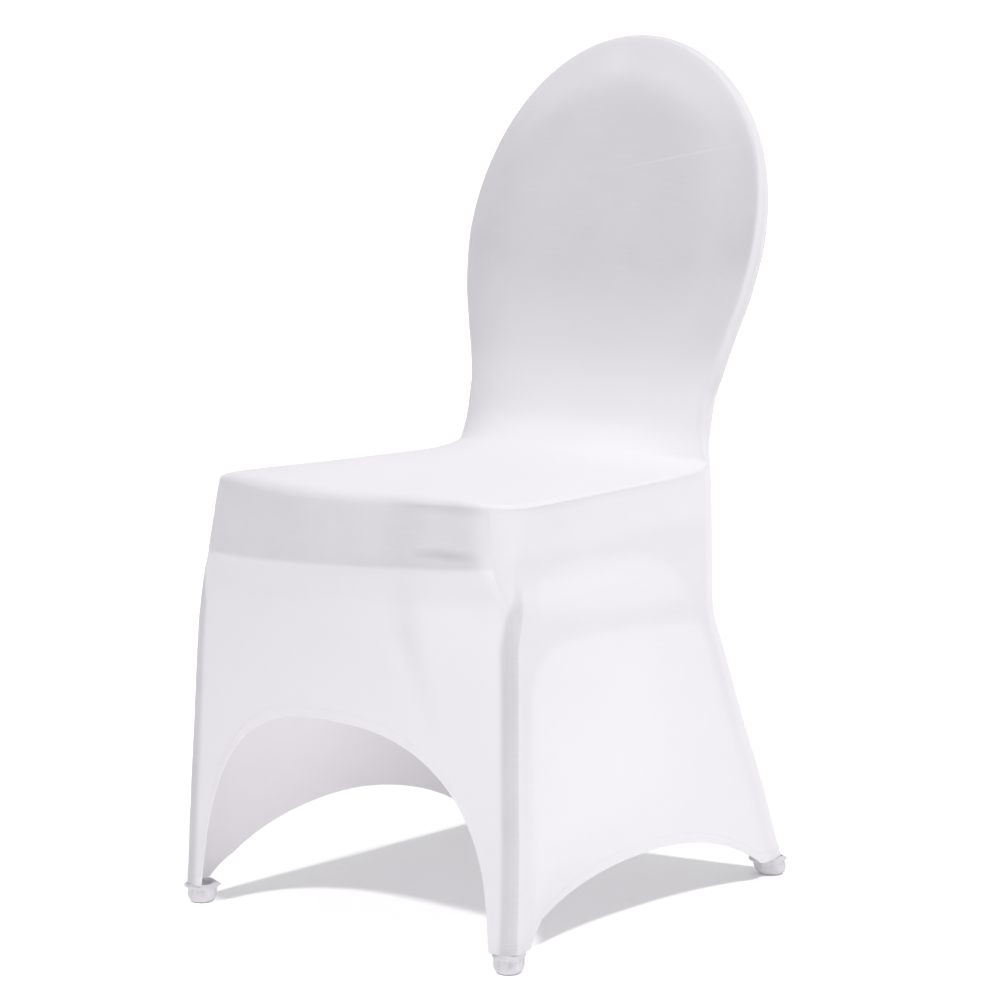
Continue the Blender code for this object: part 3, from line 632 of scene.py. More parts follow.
def doubled(distance):
    """What the second layer of a turned hem adds to the cloth's thickness."""
    return HEM_LIFT * (1 - ramp(distance, HEM_FOLD - 0.001, HEM_FOLD + 0.002))


def hem_lift(distance):
    """The doubled cloth of a turned hem, drawn down along its line of stitching."""
    return doubled(distance) - STITCH_DIP * np.exp(-((distance - HEM_STITCHED) / STITCH_DENT) ** 2)


def back_share(x, z):
    """How far a place on the back lies from its middle to its outline, from 0 to 1."""
    lower = read(REAR_CORNER, "half_width", np.minimum(z, WIDEST_HEIGHT))
    half = np.where(z > WIDEST_HEIGHT, WIDEST_HALF, lower)
    rise = np.maximum(z - WIDEST_HEIGHT, 0) / (TOTAL_HEIGHT - WIDEST_HEIGHT)
    return np.hypot(x / half, rise)


# Lines on the front panel, as places across and heights
PINCH = ((0.110, 0.4150), (0.142, 0.4165), (0.186, 0.4130))
TUCK = ((0.085, 0.4580), (0.140, 0.4562), (0.200, 0.4522))
WRINKLE = ((-0.185, 0.386), (-0.150, 0.383))
LONG_FOLD = ((0.085, 0.380), (0.108, 0.320), (0.145, 0.215))
FOLD_SHADE = ((0.098, 0.400), (0.104, 0.350), (0.118, 0.290))

# Creases of the front skirt: relief, width, how far the line is moved across and up, and the line
SKIRT_CREASES = (
    (0.0012, 0.0046, 0.0, 0.0, PINCH),
    (-0.0012, 0.0042, 0.0, -0.0060, PINCH),
    (0.0009, 0.0030, 0.0, 0.0, WRINKLE),
    (0.0012, 0.0160, 0.008, 0.0, LONG_FOLD),
    (-0.0010, 0.0120, -0.012, 0.0, LONG_FOLD),
)

# Creases of the rear skirt: relief, width and line
REAR_CREASES = (
    (0.0015, 0.010, ((-0.150, 0.470), (0.0, 0.448), (0.150, 0.470))),
    (-0.0012, 0.012, ((-0.150, 0.340), (-0.060, 0.310), (-0.020, 0.225))),
    (-0.0012, 0.012, ((0.150, 0.345), (0.070, 0.305), (0.030, 0.225))),
)
BORDER_SINK = 0.0016             # the back's border lies this far below its face
BAND_STEP = 0.0014               # the band ends in a step this deep
TUCK_DEPTH = 0.0014
BAND_LOW = 0.391                 # height of the band's lower edge in the middle, and its slope
BAND_SLOPE = 0.05

# How grey the tight cloth is, from 0 where it hangs free; a pocket's gathers and cup are greyed as
# painted shade
FACE_GREY = 0.74
BAND_GREY = 0.70
SIDE_GREY = 0.44
OPENING_GREY = 0.17
WINDOW_GREY = 0.29
NEAR_STRIP_GREY = 0.42
REAR_GREY = 0.55
POCKET_GREY = 0.05
GATHER_SHADE = 0.40
CUP_SHADE = 0.6


def front_detail(grid):
    """Relief of the front panel in metres, and its grey: how closely it lies on what is under it, with
    painted shade and painted highlights.
    """
    x, y, z = grid[..., 0], grid[..., 1], grid[..., 2]
    top, hem, left, right = from_edges(grid)
    seam = np.minimum(left, right)
    rows = np.arange(len(grid))[:, None] + 0 * x
    seat_from = len(CAP_FINE) + np.searchsorted(LAP_FINE, TRIPLE_STATION)
    skirt_from = len(CAP_FINE) * 2 + len(LAP_FINE)
    # the back, the seat and the skirt run into each other over a number of grid rows
    on_back = 1 - ramp(rows, seat_from - 24, seat_from + 6)
    on_skirt = ramp(rows, skirt_from - 8, skirt_from)
    past_edge = ramp(rows, skirt_from - 20, skirt_from + 2)
    on_seat = (1 - on_back) * (1 - on_skirt)
    lift = seam_lift(seam) * (1 - on_seat) * (1 - on_skirt * ramp(z, FREE_FROM, FREE_TO))
    lift += piping(seam, y)
    lift += seam_lift(top) * on_back
    lift += hem_lift(hem) * on_skirt
    # the back is flat in its middle and soft towards its border
    spot = back_share(x, z)
    lift -= BORDER_SINK * ramp(spot, 0.66, 0.88) * (1 - ramp(spot, 0.90, 0.99)) * ramp(z, 0.58, 0.68)
    # the tight band below the seat's edge ends in a step, where the cloth comes free
    band = BAND_LOW + BAND_SLOPE * x
    below = ramp(z, band + 0.002, band - 0.003) * on_skirt
    to_corner = 1 - ramp(np.abs(x), 0.165, 0.195)
    lift -= BAND_STEP * below * ramp(z, 0.30, 0.37) * to_corner
    # a tuck runs along the seat's edge to its corner, and a long soft fold hangs down to the arch
    lift -= TUCK_DEPTH * crease(x, z, TUCK, 0.0032) * past_edge * ramp(seam, 0.001, 0.012)
    for relief, width, across, up, line in SKIRT_CREASES:
        lift += relief * crease(x - across, z - up, line, width) * on_skirt
    # the back's face is drawn tight and grey; painted highlight lightens its border at the top, and
    # painted shade darkens it lower down
    border = ramp(spot, 0.70, 0.86)
    face = FACE_GREY - 0.46 * border * ramp(z, 0.785, 0.875) + 0.08 * border * ramp(z, 0.80, 0.74)
    # painted shade darkens the face towards its left and right sides at its widest height
    face += 0.08 * ramp(-x, 0.09, 0.17) * hill(z, 0.68, 0.09)
    face += 0.10 * ramp(x, 0.08, 0.16) * hill(z, 0.69, 0.08)
    # painted highlight: a lighter spot near the top of the back
    face -= 0.22 * hill(np.hypot(x + 0.020, z - 0.893), 0.0, 0.032)
    show_through_and_shade = on_back * face * ramp(z, 0.525, 0.700)
    show_through_and_shade += 0.14 * on_back * ramp(spot, 0.55, 0.85) * hill(z, 0.590, 0.085)
    # painted highlight: the rim beside the seam is lighter above the waist
    show_through_and_shade *= 1 - 0.80 * on_back * ramp(seam, 0.0145, 0.0090) * ramp(z, 0.50, 0.56)
    # painted shade where the seat runs into the back
    lap_shade = np.maximum(0.02 * hill(z, 0.487, 0.040), 0.10 * ramp(z, 0.485, 0.465))
    show_through_and_shade += (1 - past_edge) * lap_shade
    # the band is tight and grey; painted shade makes it greyer still left of the pinched corner and in a
    # patch further left
    band_grey_and_shade = (BAND_GREY + 0.16 * hill(x, 0.150, 0.040)) * (1 - 0.70 * ramp(x, 0.166, 0.203))
    band_grey_and_shade += 0.24 * hill(x, 0.102, 0.042) * ramp(z, 0.385, 0.41)
    show_through_and_shade += past_edge * (1 - below) * band_grey_and_shade
    # painted shade along the tuck, the pinch and the long fold
    show_through_and_shade += 0.24 * crease(x, z, TUCK, 0.0040) * past_edge
    show_through_and_shade += 0.48 * crease(x, z + 0.0050, PINCH, 0.0056) * on_skirt
    show_through_and_shade += 0.22 * below * crease(x, z, FOLD_SHADE, 0.014)
    # seen along its length, the strip down the left corner spreads further over the front
    spread = np.where(x < 0, 0.72, 1.0)
    show_through_and_shade = np.maximum(show_through_and_shade, corner_strip(-seam * spread, z) * on_skirt)
    show_through_and_shade = np.maximum(show_through_and_shade, 0.34 * ramp(seam, 0.012, 0.0) * ramp(z, 0.400, 0.360) * on_skirt)
    waist_edge = (1 - ramp(seam, 0.012, 0.020)) * ramp(z, 0.60, 0.54) * on_back
    return lift, np.maximum(show_through_and_shade, 0.35 * waist_edge)


def side_detail(grid):
    """Relief of a side panel, and its grey: how closely it lies on what is under it, with a painted
    highlight along its rear seam.
    """
    y, z = grid[..., 1], grid[..., 2]
    top, hem, left, right = from_edges(grid)
    front, rear = (left, right) if grid[0, 0, 0] > 0 else (right, left)
    lift = seam_lift(front) * (1 - ramp(z, FREE_FROM, FREE_TO)) + seam_lift(rear) + hem_lift(hem)
    lift += piping(top, y)
    window = within(y, z, SIDE_WINDOW, 0.005)
    past_rear = y - read(REAR_CORNER, "centre_y", z) + 0.016
    opening = within(y, z, SIDE_OPENING, 0.005) * (1 - ramp(past_rear, -0.012, 0.0))
    above = ramp(z, 0.400, 0.422)
    # round the two areas the cloth is held out a little
    tight = (1 - window) * (1 - opening) * (1 - above) * ramp(z, 0.20, 0.30)
    lift += 0.0004 * tight * ramp(np.minimum(front, rear), 0.0, 0.012)
    past_corner = ramp(front, -0.012, 0.036)
    show_through_and_shade = SIDE_GREY - 0.20 * above * past_corner - 0.10 * (1 - ramp(z, 0.16, 0.26))
    show_through_and_shade = show_through_and_shade * (1 - opening) + OPENING_GREY * opening
    show_through_and_shade = show_through_and_shade * (1 - window) + WINDOW_GREY * window
    # painted highlight: a light strip along the rear seam
    show_through_and_shade *= 1 - 0.8 * ramp(rear, 0.0080, 0.0040)
    near_strip = 1 - ramp(front - strip_shift(z), 0.018, 0.026)
    show_through_and_shade = np.maximum(show_through_and_shade, NEAR_STRIP_GREY * near_strip * ramp(z, 0.390, 0.350))
    return lift, np.maximum(show_through_and_shade, corner_strip(front, z))


def rear_detail(grid):
    """Relief of the rear panel, and how closely it lies on what is under it."""
    x, y, z = grid[..., 0], grid[..., 1], grid[..., 2]
    top, hem, left, right = from_edges(grid)
    seam = np.minimum(left, right)
    lift = seam_lift(seam) + seam_lift(top) * ramp(z, 0.70, 0.75) + hem_lift(hem) * ramp(z, 0.30, 0.26)
    spot = back_share(x, z)
    show_through_and_shade = REAR_GREY * (1 - ramp(spot, 0.80, 0.95)) * ramp(z, 0.44, 0.56)
    strip = ramp(seam, 0.005, 0.009) * (1 - ramp(seam, 0.020, 0.026)) * ramp(z, 0.46, 0.40)
    for relief, width, line in REAR_CREASES:
        lift += relief * crease(x, z, line, width)
    return lift, np.maximum(show_through_and_shade, 0.5 * strip)


def linear(code):
    """A hex sRGB colour as linear red, green, blue and alpha."""
    parts = [int(code[i:i + 2], 16) / 255 for i in (1, 3, 5)]
    return [p / 12.92 if p <= 0.04045 else ((p + 0.055) / 1.055) ** 2.4 for p in parts] + [1.0]


def put(name, data):
    """A new object in the scene."""
    made = bpy.data.objects.new(name, data)
    bpy.context.scene.collection.objects.link(made)
    return made


def principled(name, **values):
    """A material with a Principled shader, and its values by name, with _ for a blank."""
    material = bpy.data.materials.new(name)
    material.use_nodes = True
    shader = material.node_tree.nodes["Principled BSDF"]
    for socket, value in values.items():
        shader.inputs[socket.replace("_", " ")].default_value = value
    return material, shader


def add_node(tree, kind, settings=None, inputs=None):
    """Adds a node, with its settings by name and its inputs as values or links."""
    made = tree.nodes.new(kind)
    for name, value in (settings or {}).items():
        setattr(made, name, value)
    for name, value in (inputs or {}).items():
        if isinstance(value, bpy.types.NodeSocket):
            tree.links.new(value, made.inputs[name])
        else:
            made.inputs[name].default_value = value
    return made


HIGHLIGHT_LINE_RISE = math.radians(10.6)   # slope of the painted highlight line along a faint crease on the back
HIGHLIGHT_LINE_AT = 0.7597                 # its distance from the floor, square to its own direction
HIGHLIGHT_LINE_HALF_WIDTH = 0.0012
LIGHT_THROUGH = 0.32             # share of the light on the cloth that passes into it
RIB_PITCH = 0.0011               # wales are 0.5 mm apart in the real cloth; wider here, to show
COURSE_PITCH = 0.0014            # courses likewise
WAVES_AT_ONE = 3.183             # a wave texture at scale 1 has this many waves a metre


def knitted_polyester(name, free_colour, show_through_and_shade_colour, roughness):
    """Brushed warp-knit polyester with elastane: a fine even rib, matt, with a soft sheen.

    It is thin enough that whatever it lies tight on shows through as a cool grey, and it is
    lighter where it is stretched free; painted shade and painted highlights are added to the same
    grey. The cloth's own lengths and widths are its UV map, in metres.
    """
    material, shader = principled(name, Roughness=roughness, Specular_IOR_Level=0.25,
                                  Sheen_Weight=0.15, Sheen_Roughness=0.45)
    tree = material.node_tree
    show_through_and_shade = add_node(tree, "ShaderNodeAttribute", {"attribute_name": "show_through_and_shade"})
    place = add_node(tree, "ShaderNodeTexCoord")
    # slow changes in how far the cloth is stretched, 60 mm across
    drift = add_node(tree, "ShaderNodeTexNoise", inputs={
        "Vector": place.outputs["Object"], "Scale": 16.0, "Detail": 3.0, "Roughness": 0.55})
    drift_size = add_node(tree, "ShaderNodeMapRange", inputs={
        "Value": drift.outputs["Fac"], "From Min": 0.3, "From Max": 0.7, "To Min": 0.65, "To Max": 0.79})
    shown = add_node(tree, "ShaderNodeMath", {"operation": "MULTIPLY"}, {
        0: show_through_and_shade.outputs["Fac"], 1: drift_size.outputs["Result"]})
    # stretch lines run across the cloth, 3 mm apart and about 60 mm long
    stretched = add_node(tree, "ShaderNodeMapping", inputs={
        "Vector": place.outputs["UV"], "Scale": (16.0, 300.0, 1.0)})
    lines = add_node(tree, "ShaderNodeTexNoise", inputs={
        "Vector": stretched.outputs["Vector"], "Scale": 1.0, "Detail": 2.0, "Roughness": 0.6})
    line_size = add_node(tree, "ShaderNodeMapRange", inputs={
        "Value": lines.outputs["Fac"], "From Min": 0.35, "From Max": 0.65,
        "To Min": -0.04, "To Max": 0.04})
    line_here = add_node(tree, "ShaderNodeMath", {"operation": "MULTIPLY_ADD"}, {
        0: line_size.outputs["Result"], 1: show_through_and_shade.outputs["Fac"], 2: shown.outputs["Value"]})
    # a painted highlight runs up across the back, a thin light line along a faint crease; "pull" says
    # how far it shows
    pull = add_node(tree, "ShaderNodeAttribute", {"attribute_name": "pull"})
    across_highlight_line = add_node(tree, "ShaderNodeVectorMath", {"operation": "DOT_PRODUCT"}, {
        0: place.outputs["Object"], 1: (-math.sin(HIGHLIGHT_LINE_RISE), 0.0, math.cos(HIGHLIGHT_LINE_RISE))})
    off_highlight_line = add_node(tree, "ShaderNodeMath", {"operation": "COMPARE"}, {
        0: across_highlight_line.outputs["Value"], 1: HIGHLIGHT_LINE_AT, 2: HIGHLIGHT_LINE_HALF_WIDTH})
    highlight_line_here = add_node(tree, "ShaderNodeMath", {"operation": "MULTIPLY"}, {
        0: off_highlight_line.outputs["Value"], 1: pull.outputs["Fac"]})
    less_grey = add_node(tree, "ShaderNodeMath", {"operation": "MULTIPLY_ADD"}, {
        0: highlight_line_here.outputs["Value"], 1: -0.22, 2: line_here.outputs["Value"]})
    tint = add_node(tree, "ShaderNodeMix", {"data_type": "RGBA", "clamp_factor": True}, {
        0: less_grey.outputs["Value"], 6: linear(free_colour), 7: linear(show_through_and_shade_colour)})
    tree.links.new(tint.outputs[2], shader.inputs["Base Color"])
    # the rib and the courses of the knit
    rib = add_node(tree, "ShaderNodeTexWave", {"wave_type": "BANDS", "bands_direction": "X"}, {
        "Vector": place.outputs["UV"], "Scale": 1 / (RIB_PITCH * WAVES_AT_ONE), "Distortion": 0.4,
        "Detail": 1.0, "Detail Scale": 2.0})
    course = add_node(tree, "ShaderNodeTexWave", {"wave_type": "BANDS", "bands_direction": "Y"}, {
        "Vector": place.outputs["UV"], "Scale": 1 / (COURSE_PITCH * WAVES_AT_ONE),
        "Distortion": 0.4})
    knit = add_node(tree, "ShaderNodeMath", {"operation": "MULTIPLY_ADD"}, {
        0: rib.outputs["Fac"], 1: 0.6, 2: course.outputs["Fac"]})
    fine = add_node(tree, "ShaderNodeBump", inputs={
        "Height": knit.outputs["Value"], "Strength": 0.12, "Distance": 0.0002})
    soft = add_node(tree, "ShaderNodeBump", inputs={
        "Height": lines.outputs["Fac"], "Strength": 0.10, "Distance": 0.0008,
        "Normal": fine.outputs["Normal"]})
    tree.links.new(soft.outputs["Normal"], shader.inputs["Normal"])
    # daylight comes through the thin cloth and brightens the hollow inside
    through = add_node(tree, "ShaderNodeBsdfTranslucent", inputs={"Color": linear(free_colour)})
    layers = add_node(tree, "ShaderNodeMixShader", inputs={
        0: LIGHT_THROUGH, 1: shader.outputs["BSDF"], 2: through.outputs["BSDF"]})
    tree.links.new(layers.outputs["Shader"], tree.nodes["Material Output"].inputs["Surface"])
    return material


panel_cloth = knitted_polyester("stretch_knit_white", "#EBE9EC", "#C4C3C7", 0.62)
pocket_cloth = knitted_polyester("doubled_pocket_knit", "#E4E2E6", "#B6B5BA", 0.66)

STITCH_OUT = 0.0001              # the stitches lie this far proud of the cloth
STITCH_PITCH = 0.0034            # real stitches are about 2.5 mm apart; wider here, to show
STITCH_LENGTH = 0.0026
STITCH_WIDTH = 0.0006
POCKET_EAR = 0.0026              # a pocket's seam stands out where it turns the corners of the hems
STITCHED_ROW = 8                 # grid row, counted from the hem, that faces as the stitches do
SHEET = 0.0010                   # thickness at which a single layer of the cloth is drawn
INSIDE_GREY = 0.15
HIGHLIGHT_LINE_MIDDLE = (0.085, 0.790)     # place across and height of the middle of the painted highlight line
HIGHLIGHT_LINE_REACH = (0.105, 0.060)


def add_piece(name, points, faces, uvs, marks, material, edges=()):
    """One finished piece, with its cloth lengths as its UV map and its marks as attributes."""
    mesh = bpy.data.meshes.new(name)
    mesh.from_pydata(points, edges, faces)
    layer = mesh.uv_layers.new(name="cloth")
    corners = np.empty(len(mesh.loops), dtype=np.int32)
    mesh.loops.foreach_get("vertex_index", corners)
    layer.data.foreach_set("uv", np.asarray(uvs)[corners].ravel())
    for mark, values in marks.items():
        layer = mesh.attributes.new(mark, "FLOAT", "POINT")
        layer.data.foreach_set("value", np.asarray(values, dtype=np.float32))
    mesh.materials.append(material)
    mesh.validate()
    mesh.update()
    mesh.shade_smooth()
    mesh.set_sharp_from_angle(angle=math.radians(50))
    return put(name, mesh)


def stitch_nodes():
    """Geometry nodes that lay stitches along a panel's loose edges and keep its cloth."""
    tree = bpy.data.node_groups.new("hem_stitches", "GeometryNodeTree")
    tree.interface.new_socket("Geometry", in_out="INPUT", socket_type="NodeSocketGeometry")
    for name, kind in (("Pitch", "Float"), ("Length", "Float"), ("Width", "Float"), ("Seed", "Int"),
                       ("Cloth", "Material")):
        tree.interface.new_socket(name, in_out="INPUT", socket_type="NodeSocket" + kind)
    tree.interface.new_socket("Geometry", in_out="OUTPUT", socket_type="NodeSocketGeometry")
    given = add_node(tree, "NodeGroupInput").outputs
    mark = add_node(tree, "GeometryNodeInputNamedAttribute", {"data_type": "FLOAT"}, {
        "Name": "stitch_line"})
    parts = add_node(tree, "GeometryNodeSeparateGeometry", {"domain": "POINT"}, {
        "Geometry": given["Geometry"], "Selection": mark.outputs["Attribute"]})
    path = add_node(tree, "GeometryNodeMeshToCurve", inputs={"Mesh": parts.outputs["Selection"]})
    spots = add_node(tree, "GeometryNodeCurveToPoints", {"mode": "LENGTH"}, {
        "Curve": path.outputs["Curve"], "Length": given["Pitch"]})
    bead = add_node(tree, "GeometryNodeMeshUVSphere", inputs={"Segments": 6, "Rings": 4, "Radius": 0.5})
    size = add_node(tree, "ShaderNodeCombineXYZ", inputs={
        "X": given["Width"], "Y": given["Width"], "Z": given["Length"]})
    # input 2 is the smallest size of a stitch, 3 the largest
    uneven = add_node(tree, "FunctionNodeRandomValue", {"data_type": "FLOAT"}, {
        "Seed": given["Seed"], 2: 0.88, 3: 1.08})
    scale = add_node(tree, "ShaderNodeVectorMath", {"operation": "SCALE"}, {
        "Vector": size.outputs["Vector"], "Scale": uneven.outputs[1]})
    laid = add_node(tree, "GeometryNodeInstanceOnPoints", inputs={
        "Points": spots.outputs["Points"], "Instance": bead.outputs["Mesh"],
        "Rotation": spots.outputs["Rotation"], "Scale": scale.outputs["Vector"]})
    both = add_node(tree, "GeometryNodeJoinGeometry")
    tree.links.new(laid.outputs["Instances"], both.inputs["Geometry"])
    tree.links.new(parts.outputs["Inverted"], both.inputs["Geometry"])
    real = add_node(tree, "GeometryNodeRealizeInstances", inputs={"Geometry": both.outputs["Geometry"]})
    dressed = add_node(tree, "GeometryNodeSetMaterial", inputs={
        "Geometry": real.outputs["Geometry"], "Material": given["Cloth"]})
    add_node(tree, "NodeGroupOutput", inputs={"Geometry": dressed.outputs["Geometry"]})
    return tree


def sew(piece):
    """Lays the hem's stitches on a panel and makes it one plain mesh."""
    modifier = piece.modifiers.new("hem_stitches", "NODES")
    modifier.node_group = hem_stitches
    sizes = {"Pitch": STITCH_PITCH, "Length": STITCH_LENGTH, "Width": STITCH_WIDTH, "Seed": 4,
             "Cloth": panel_cloth}
    for socket in hem_stitches.interface.items_tree:
        if socket.name in sizes:
            modifier[socket.identifier] = sizes[socket.name]
    sources = bpy.context.evaluated_depsgraph_get()
    sewn = bpy.data.meshes.new_from_object(
        piece.evaluated_get(sources), preserve_all_data_layers=True, depsgraph=sources)
    piece.modifiers.remove(modifier)
    plain = piece.data
    piece.data = sewn
    bpy.data.meshes.remove(plain)
    sewn.name = piece.name
    return piece


hem_stitches = stitch_nodes()


def add_panel(name, grid, detail, crease_highlight=0.0):
    """A sewn panel: its outer face with its relief, and an inner face one layer of cloth inside."""
    lift, show_through_and_shade = detail(grid)
    square = outward(grid)
    outer = grid + square * lift[..., None]
    hem = from_edges(grid)[1]
    thick = SHEET + doubled(hem)
    inner = outer - square * thick[..., None]
    rows, columns = grid.shape[:2]
    size = rows * columns
    index = np.arange(size).reshape(rows, columns)
    face = np.stack((index[:-1, :-1], index[1:, :-1], index[1:, 1:], index[:-1, 1:]), -1).reshape(-1, 4)
    rim = np.concatenate((index[:-1, 0], index[-1, :-1], index[:0:-1, -1], index[0, :0:-1]))
    after = np.roll(rim, -1)
    edge = np.stack((rim, rim + size, after + size, after), -1)
    faces = np.concatenate((face, face[:, ::-1] + size, edge)).tolist()
    points = np.concatenate((outer.reshape(-1, 3), inner.reshape(-1, 3)))
    points[:, 1] += MIDDLE_SHIFT
    top, _, left, right = from_edges(grid)
    uv = np.stack(((left - right) / 2, -top), -1).reshape(-1, 2)
    # the line on which the hem is stitched, as loose edges that the stitches follow
    line = np.array([[np.interp(HEM_STITCHED, hem[::-1, j], points[index[::-1, j], k])
                      for k in range(3)] for j in range(columns)])
    line += square[-STITCHED_ROW] * STITCH_OUT
    points = np.concatenate((points, line))
    uv = np.concatenate((uv, uv, 0 * line[:, :2]))
    first = 2 * size
    edges = [(first + j, first + j + 1) for j in range(columns - 1)]
    on_back = (hill(grid[..., 0], HIGHLIGHT_LINE_MIDDLE[0], HIGHLIGHT_LINE_REACH[0])
               * hill(grid[..., 2], HIGHLIGHT_LINE_MIDDLE[1], HIGHLIGHT_LINE_REACH[1]) * crease_highlight)
    marks = {"show_through_and_shade": np.concatenate((show_through_and_shade.ravel(), np.full(size, INSIDE_GREY), np.zeros(columns))),
             "pull": np.concatenate((on_back.ravel(), np.zeros(size + columns))),
             "stitch_line": np.concatenate((np.zeros(2 * size), np.ones(columns)))}
    return sew(add_piece(name, points.tolist(), faces, uv, marks, panel_cloth, edges))


POCKET_EDGE = 0.0092             # radius of a pocket's rounded lower edge
# Section of a pocket above that edge, over the seam round its mouth and down inside: distance
# past its radius, and height
POCKET_SECTION = ((0.0001, 0.0100), (-0.0003, 0.0130), (-0.0002, 0.0150), (0.0006, 0.0166),
                  (0.0014, 0.0180), (0.0012, 0.0194), (0.0004, 0.0208), (-0.0008, 0.0216),
                  (-0.0018, 0.0205), (-0.0020, 0.0150), (-0.0020, 0.0092), (-0.0045, 0.0036))
POCKET_COLUMNS = 112
SEAM_HEIGHT = 0.0186             # middle of a pocket's sewn mouth
GATHER_HEIGHT = 0.0130           # where its gathers are deepest
GATHER_REACH = 0.0080
GATHER_DEPTH = 0.0006
DENT_HEIGHT = 0.0090
DENT_REACH = 0.0070
DENT_DEPTH = 0.0012
MOUTH_WAVE = 0.0007              # the mouth rises and falls this far
CUP_FROM = 0.62                  # share of the section's points after which it runs inside the cup


def pocket_profile(radius):
    """Half section of a pocket: outside from below, over its seam, and down inside."""
    profile = [(radius * 0.20, 0.0), (radius * 0.30, 0.0)]
    for turn in np.linspace(0, math.pi / 2, 7):
        profile.append((radius - POCKET_EDGE * (1 - math.sin(turn)), POCKET_EDGE * (1 - math.cos(turn))))
    for past, height in POCKET_SECTION:
        profile.append((radius + past, height))
    profile.append((radius * 0.34, 0.0014))
    profile = np.array(profile)
    return np.stack([finer(profile[:, k], 2) for k in (0, 1)], -1)


def add_pocket(name, hand, radius, corner, ear_turn):
    """A gathered cup of doubled cloth, with two ears where its seam turns the corner of the hems."""
    profile = pocket_profile(radius)
    angle = 2 * math.pi * np.arange(POCKET_COLUMNS) / POCKET_COLUMNS
    ring, height = profile[:, :1], profile[:, 1:]
    gathers = (0.55 * np.sin(9 * angle + 1.3 * np.sin(2 * angle)) + 0.35 * np.sin(17 * angle + 0.7)
               + 0.25 * np.sin(5 * angle + 2.1))
    gathered = hill(height, GATHER_HEIGHT, GATHER_REACH)
    ears = POCKET_EAR * np.abs(np.cos(angle - ear_turn)) ** 18 * hill(height, SEAM_HEIGHT, 0.0040)
    dents = DENT_DEPTH * hill(height, DENT_HEIGHT, DENT_REACH) * np.sin(3 * angle + 0.8) ** 2
    spread = ring + GATHER_DEPTH * gathered * gathers + ears - dents
    middle = np.array([corner(level)[:2] for level in height[:, 0]])
    x = hand * middle[:, :1] + spread * np.cos(angle)
    y = middle[:, 1:] + spread * np.sin(angle) + MIDDLE_SHIFT
    z = height + MOUTH_WAVE * np.sin(4 * angle + 0.5) * ramp(height, 0.0120, 0.0190)
    z = np.clip(z + 0 * x, 0.0, None)
    rows = len(profile)
    points = np.stack((x, y, z), -1).reshape(-1, 3)
    index = np.arange(rows * POCKET_COLUMNS).reshape(rows, POCKET_COLUMNS)
    a, b = index[:-1], index[1:]
    faces = np.stack((a, np.roll(a, -1, 1), np.roll(b, -1, 1), b), -1).reshape(-1, 4).tolist()
    faces.append(index[0, ::-1].tolist())
    faces.append(index[-1].tolist())
    run = np.concatenate(((0,), np.cumsum(np.linalg.norm(np.diff(profile, axis=0), axis=1))))
    uv = np.stack((angle * radius + 0 * run[:, None], run[:, None] + 0 * angle), -1).reshape(-1, 2)
    # painted shade: the cloth is greyest in its gathers and inside the cup
    pocket_grey_and_shade = POCKET_GREY + GATHER_SHADE * ramp(-gathers, 0.0, 0.9) * gathered
    inside = (np.arange(rows) > rows * CUP_FROM)[:, None]
    pocket_grey_and_shade = np.where(inside, CUP_SHADE, pocket_grey_and_shade)
    return add_piece(name, points.tolist(), faces, uv, {"show_through_and_shade": pocket_grey_and_shade.ravel()}, pocket_cloth)


front_panel = add_panel("front_cover", front_grid(), front_detail, crease_highlight=1.0)
rear_panel = add_panel("rear_cover", rear_grid(), rear_detail)
side_right = add_panel("side_cover_right", side_grid(1), side_detail)
side_left = add_panel("side_cover_left", side_grid(-1), side_detail)

pockets = {}
for hand, word in ((1, "right"), (-1, "left")):
    ear = math.radians(45 if hand < 0 else 135)
    for end, radius, corner, turn in (("front_", FRONT_POCKET, front_corner, ear),
                                      ("rear_", REAR_POCKET, rear_corner, math.pi - ear)):
        pockets[end + word] = add_pocket("pocket_" + end + word, hand, radius, corner, turn)

for piece, node in ((front_panel, "front_panel"), (rear_panel, "rear_panel"),
                    (side_right, "side_panel_right"), (side_left, "side_panel_left")):
    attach(piece, "root")
    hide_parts(node)
for place, piece in pockets.items():
    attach(piece, "root")
    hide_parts("foot_pocket_" + place)

# The studio: a pale floor that runs out of sight, soft light from above and the right
FLOOR_HALF = 30.0
floor_mesh = bpy.data.meshes.new("studio_floor")
floor_corners = [(FLOOR_HALF * i, FLOOR_HALF * j, 0) for i, j in ((-1, -1), (1, -1), (1, 1), (-1, 1))]
floor_mesh.from_pydata(floor_corners, [], [(0, 1, 2, 3)])
# matt white paint, which glows a little so that the floor runs into the white behind it
floor_paint, _ = principled("matt_white_floor", Base_Color=linear("#E7E7E7"), Roughness=0.9,
                            Emission_Color=(1, 1, 1, 1), Emission_Strength=0.11, Specular_IOR_Level=0.1)
floor_mesh.materials.append(floor_paint)
floor = put("studio_floor", floor_mesh)


def only_on(name, objects):
    """A collection that says which objects a light falls on."""
    group = bpy.data.collections.new(name)
    for target in objects:
        group.objects.link(target)
    return group


def add_sun(name, energy, width, toward, group):
    """A distant studio light, some degrees wide, that falls on one group of objects."""
    lamp = bpy.data.lights.new(name, "SUN")
    lamp.energy = energy
    lamp.angle = math.radians(width)
    holder = put(name, lamp)
    holder.rotation_euler = Vector(toward).to_track_quat("Z", "Y").to_euler()
    holder.light_linking.receiver_collection = group


SHADOW_LAMP = 1.95
SHADOW_LAMP_WIDTH = 4
cloth_only = only_on("lit_cloth", (front_panel, rear_panel, side_right, side_left, *pockets.values()))
floor_only = only_on("lit_floor", (floor,))
add_sun("overhead_softlight", 2.36, 18, (0.38, -0.14, 1.0), cloth_only)
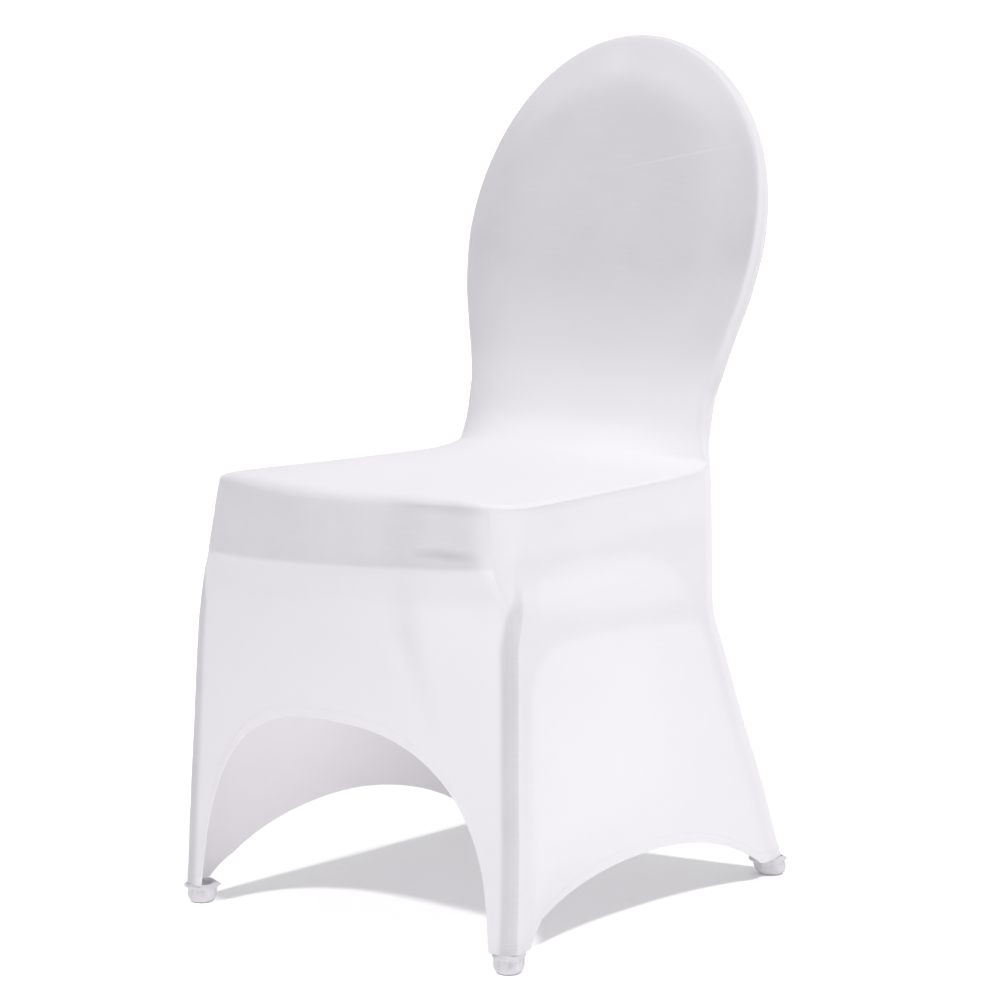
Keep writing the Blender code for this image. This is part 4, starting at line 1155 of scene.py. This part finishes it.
# two lamps, from in front and from the side, leave the shadow dark only where neither reaches
add_sun("front_lamp", SHADOW_LAMP, SHADOW_LAMP_WIDTH, (0.0, -0.78, 1.0), floor_only)
add_sun("side_lamp", SHADOW_LAMP, SHADOW_LAMP_WIDTH, (0.70, -0.20, 1.0), floor_only)

# light that the studio throws back into the hollow under the seat; it falls on the cloth alone
fill = bpy.data.lights.new("fill_under_seat", "POINT")
fill.energy = 0.8
fill.shadow_soft_size = 0.06
fill_holder = put("fill_under_seat", fill)
fill_holder.location = (0.02, -0.06, 0.20)
fill_holder.visible_camera = False
fill_holder.light_linking.receiver_collection = cloth_only

world = bpy.data.worlds.new("white_studio")
bpy.context.scene.world = world
world.use_nodes = True
sky = world.node_tree.nodes["Background"]
sky.inputs["Color"].default_value = (1, 1, 1, 1)
ray = add_node(world.node_tree, "ShaderNodeLightPath")
AMBIENT = 0.69                   # strength of the white surroundings as a light
SEEN = 1.2                       # and as the camera sees them
strength = add_node(world.node_tree, "ShaderNodeMapRange", inputs={
    "Value": ray.outputs["Is Camera Ray"], "To Min": AMBIENT, "To Max": SEEN})
world.node_tree.links.new(strength.outputs["Result"], sky.inputs["Strength"])
bpy.context.scene.view_settings.view_transform = "Standard"

# The camera, where the photograph was taken from
TURN = math.radians(39.21)
RISE = math.radians(7.80)
DISTANCE = 3.264
AIM_RIGHT = 0.0155
AIM_HEIGHT = 0.4284
PHOTO_SIZE = 1000
FOCAL_PIXELS = 3065
back = Vector((math.sin(TURN) * math.cos(RISE), -math.cos(TURN) * math.cos(RISE), math.sin(RISE)))
right = Vector((math.cos(TURN), math.sin(TURN), 0))
camera_data = bpy.data.cameras.new("photo_camera")
camera_data.sensor_width = 36
camera_data.lens = FOCAL_PIXELS * camera_data.sensor_width / PHOTO_SIZE
camera_data.clip_end = 200
camera = put("photo_camera", camera_data)
place = Vector((0, MIDDLE_SHIFT, AIM_HEIGHT)) + right * AIM_RIGHT + back * DISTANCE
pose = Matrix((right, back.cross(right), back)).transposed().to_4x4()
pose.translation = place
camera.matrix_world = pose
bpy.context.scene.camera = camera
